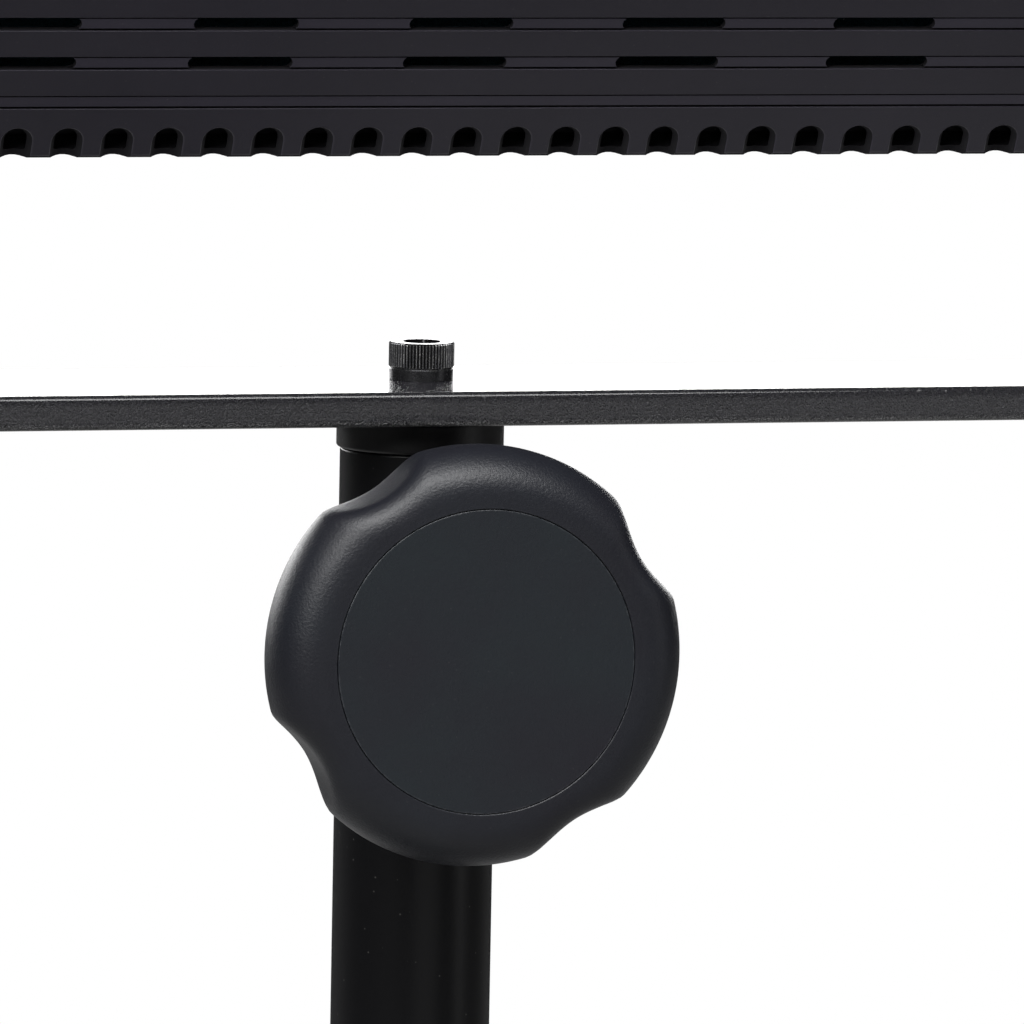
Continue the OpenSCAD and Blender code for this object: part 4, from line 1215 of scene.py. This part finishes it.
# %% Screws of the desk
COVER_SCREW_IN, COVER_SCREW_PITCH = 14, 95
LEDGE_SCREW_PITCH, LEDGE_SCREW_H = 110, 20
m5 = socket_screw("m5_drawing", head_r=4.25, head_h=5, hex_r=2.4, hex_depth=2.5, shank_r=2.5, shank=8)
button = socket_screw("button_drawing", head_r=3.0, head_h=1.6, hex_r=1.3, hex_depth=1.0, shank_r=1.48,
                      shank=4, edge=0.6, dome=0.45)
ledge_button = socket_screw("ledge_button_drawing", head_r=3.75, head_h=2.0, hex_r=1.45, hex_depth=1.1,
                            shank_r=1.98, shank=1.2, edge=0.8, dome=0.6)
ahead = desk_place @ Matrix.Rotation(-QUARTER, 4, "X")
middle_z = (low_z + top_z) / 2
lug_spots = [(x * LUG_SCREW_X, z, LUG_FOOT_T - rear) for x in (-1, 1) for z in (-LUG_SCREW_Z, LUG_SCREW_Z)]
cover_spots = [(x * (desk_x1 - COVER_SCREW_IN), middle_z + k * COVER_SCREW_PITCH, -rear)
               for x in (-1, 1) for k in (-1, 0, 1)]
ledge_spots = [(LEDGE_SCREW_PITCH * i, -(low_z + LEDGE_SCREW_H), front + SHEET) for i in range(-2, 3)]
repeated("lug_screw_set", m5, lug_spots, behind, "desk", screw_black, "black_screw", "lug_screws")
repeated("cover_screw_set", button, cover_spots, behind, "desk", screw_black, "black_screw", "cover_screws")
repeated("ledge_screw_set", ledge_button, ledge_spots, ahead, "desk", screw_black, "black_screw",
         "ledge_screws")
forget(m5, button, ledge_button)

# %% [markdown]
# ## Inside the desk
# Behind the slots lie a felt liner and two steel rails that stiffen the panel. They can be glimpsed
# through the vents, so they keep their CAD shapes and get finishes of their own: dark fuzzy felt with
# a little lint, and dark steel with rolling lines. The felt's teal is raised about twice over, painted
# light that stands in for the light that hardly gets inside the desk.

# %% Liner and rails
INSIDE = {"desk_liner": liner_teal, "desk_rail_left": rail_dark, "desk_rail_right": rail_dark}
for node, material in INSIDE.items():
    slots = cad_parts[node].data.materials
    slots.clear()
    slots.append(material)
print("liner and rails finished")

# %% [markdown]
# ## Floor, light and camera
# A black object is drawn by what it reflects. A big soft panel high on the left gives the long
# highlights on the knob and the post, and one overhead lights what faces up. A weaker panel on the
# right separates the dark side, a very weak one low in front keeps the front from going black, and a
# bright wall behind makes the top of the bar flash white at its grazing angle. The floor is pale near
# the stand and fades to clean white for the camera, so nothing but the stand is left. The stand itself
# reflects a dimmer floor and a dark sky, which keeps its blacks deep.

# %% Floor
FLOOR_HALF, FLOOR_Z = 60, -0.0005
PALE, DIM = (0.82, 0.82, 0.82, 1), (0.26, 0.26, 0.26, 1)
floor_mesh = bpy.data.meshes.new("studio_floor")
floor_corners = [(x * FLOOR_HALF, y * FLOOR_HALF, FLOOR_Z) for x, y in ((-1, -1), (1, -1), (1, 1), (-1, 1))]
floor_mesh.from_pydata(floor_corners, [], [(0, 1, 2, 3)])
floor = bpy.data.objects.new("studio_floor", floor_mesh)
bpy.context.scene.collection.objects.link(floor)
pale = bpy.data.materials.new("pale_floor")
pale.use_nodes = True
tree = pale.node_tree
lit = tree.nodes["Principled BSDF"]
lit.inputs["Roughness"].default_value = 0.6
white = add_node(tree, "ShaderNodeEmission", inputs={"Color": (1, 1, 1, 1), "Strength": 1.0})
away = add_node(tree, "ShaderNodeVectorMath", operation="LENGTH", inputs={0: place_of(tree)}).outputs["Value"]
fade = maths(tree, "MULTIPLY", maths(tree, "SUBTRACT", away, 0.35), 1.1, clamp=True)
seen = add_node(tree, "ShaderNodeLightPath").outputs["Is Camera Ray"]
fade = maths(tree, "MULTIPLY", fade, seen)
tree.links.new(blend_colours(tree, seen, DIM, PALE), lit.inputs["Base Color"])
surface = add_node(tree, "ShaderNodeMixShader", inputs={0: fade, 1: lit.outputs[0], 2: white.outputs[0]})
tree.links.new(surface.outputs[0], tree.nodes["Material Output"].inputs["Surface"])
floor.data.materials.append(pale)

# %% World
DARK_SKY, WHITE_SKY = 0.015, 1.0
world = bpy.data.worlds.new("studio")
bpy.context.scene.world = world
world.use_nodes = True
tree = world.node_tree
sky = tree.nodes["Background"]
sky.inputs["Color"].default_value = (1, 1, 1, 1)
seen = add_node(tree, "ShaderNodeLightPath").outputs["Is Camera Ray"]
tree.links.new(blend_values(tree, seen, DARK_SKY, WHITE_SKY), sky.inputs["Strength"])

# %% Softboxes
def softbox(name, place, aim, width, height, power):
    """A rectangular light at place, turned to aim, that the camera can't see."""
    light = bpy.data.lights.new(name, "AREA")
    light.shape = "RECTANGLE"
    light.size, light.size_y, light.energy = width, height, power
    obj = bpy.data.objects.new(name, light)
    obj.location = place
    obj.rotation_euler = (Vector(aim) - Vector(place)).to_track_quat("-Z", "Y").to_euler()
    obj.visible_camera = False
    bpy.context.scene.collection.objects.link(obj)


knob_height = clamp_z * MM
softbox("key_upper_left", (-1.5, -1.5, 1.75), (0, 0, knob_height), 1.1, 0.9, 23)
softbox("overhead_front", (-0.2, -0.8, 2.0), (0, 0, knob_height), 1.5, 0.7, 38)
softbox("fill_right", (1.9, -1.1, 0.9), (0, 0, knob_height), 0.5, 1.6, 2.5)
softbox("backdrop_wall", (0.4, 2.4, 1.85), (0.4, 0, 1.85), 4.4, 2.2, 200)
softbox("front_weak", (0.3, -2.6, 0.25), (0, 0, knob_height), 1.6, 0.9, 2.4)

# %% Camera
AZIMUTH, ELEVATION, ROLL = math.radians(-15.418), math.radians(6.805), math.radians(1.081)
DISTANCE, AIM, LENS = 1.6034, Vector((0.01536, 0, 0.64402)), 354.06
back = Vector((math.sin(AZIMUTH) * math.cos(ELEVATION), -math.cos(AZIMUTH) * math.cos(ELEVATION),
               math.sin(ELEVATION)))
right = Vector((math.cos(AZIMUTH), math.sin(AZIMUTH), 0))
up = back.cross(right)
across = right * math.cos(ROLL) + up * math.sin(ROLL)
over = up * math.cos(ROLL) - right * math.sin(ROLL)
camera_data = bpy.data.cameras.new("camera")
camera_data.lens, camera_data.sensor_width = LENS, 36
camera_data.clip_start, camera_data.clip_end = 0.05, 200
camera = bpy.data.objects.new("camera", camera_data)
turned_to = Matrix((across, over, back)).transposed().to_4x4()
camera.matrix_world = Matrix.Translation(AIM + back * DISTANCE) @ turned_to
bpy.context.scene.collection.objects.link(camera)
bpy.context.scene.camera = camera
bpy.context.scene.view_settings.view_transform = "Standard"
print("camera at", [round(v, 3) for v in camera.location], "lens", LENS)
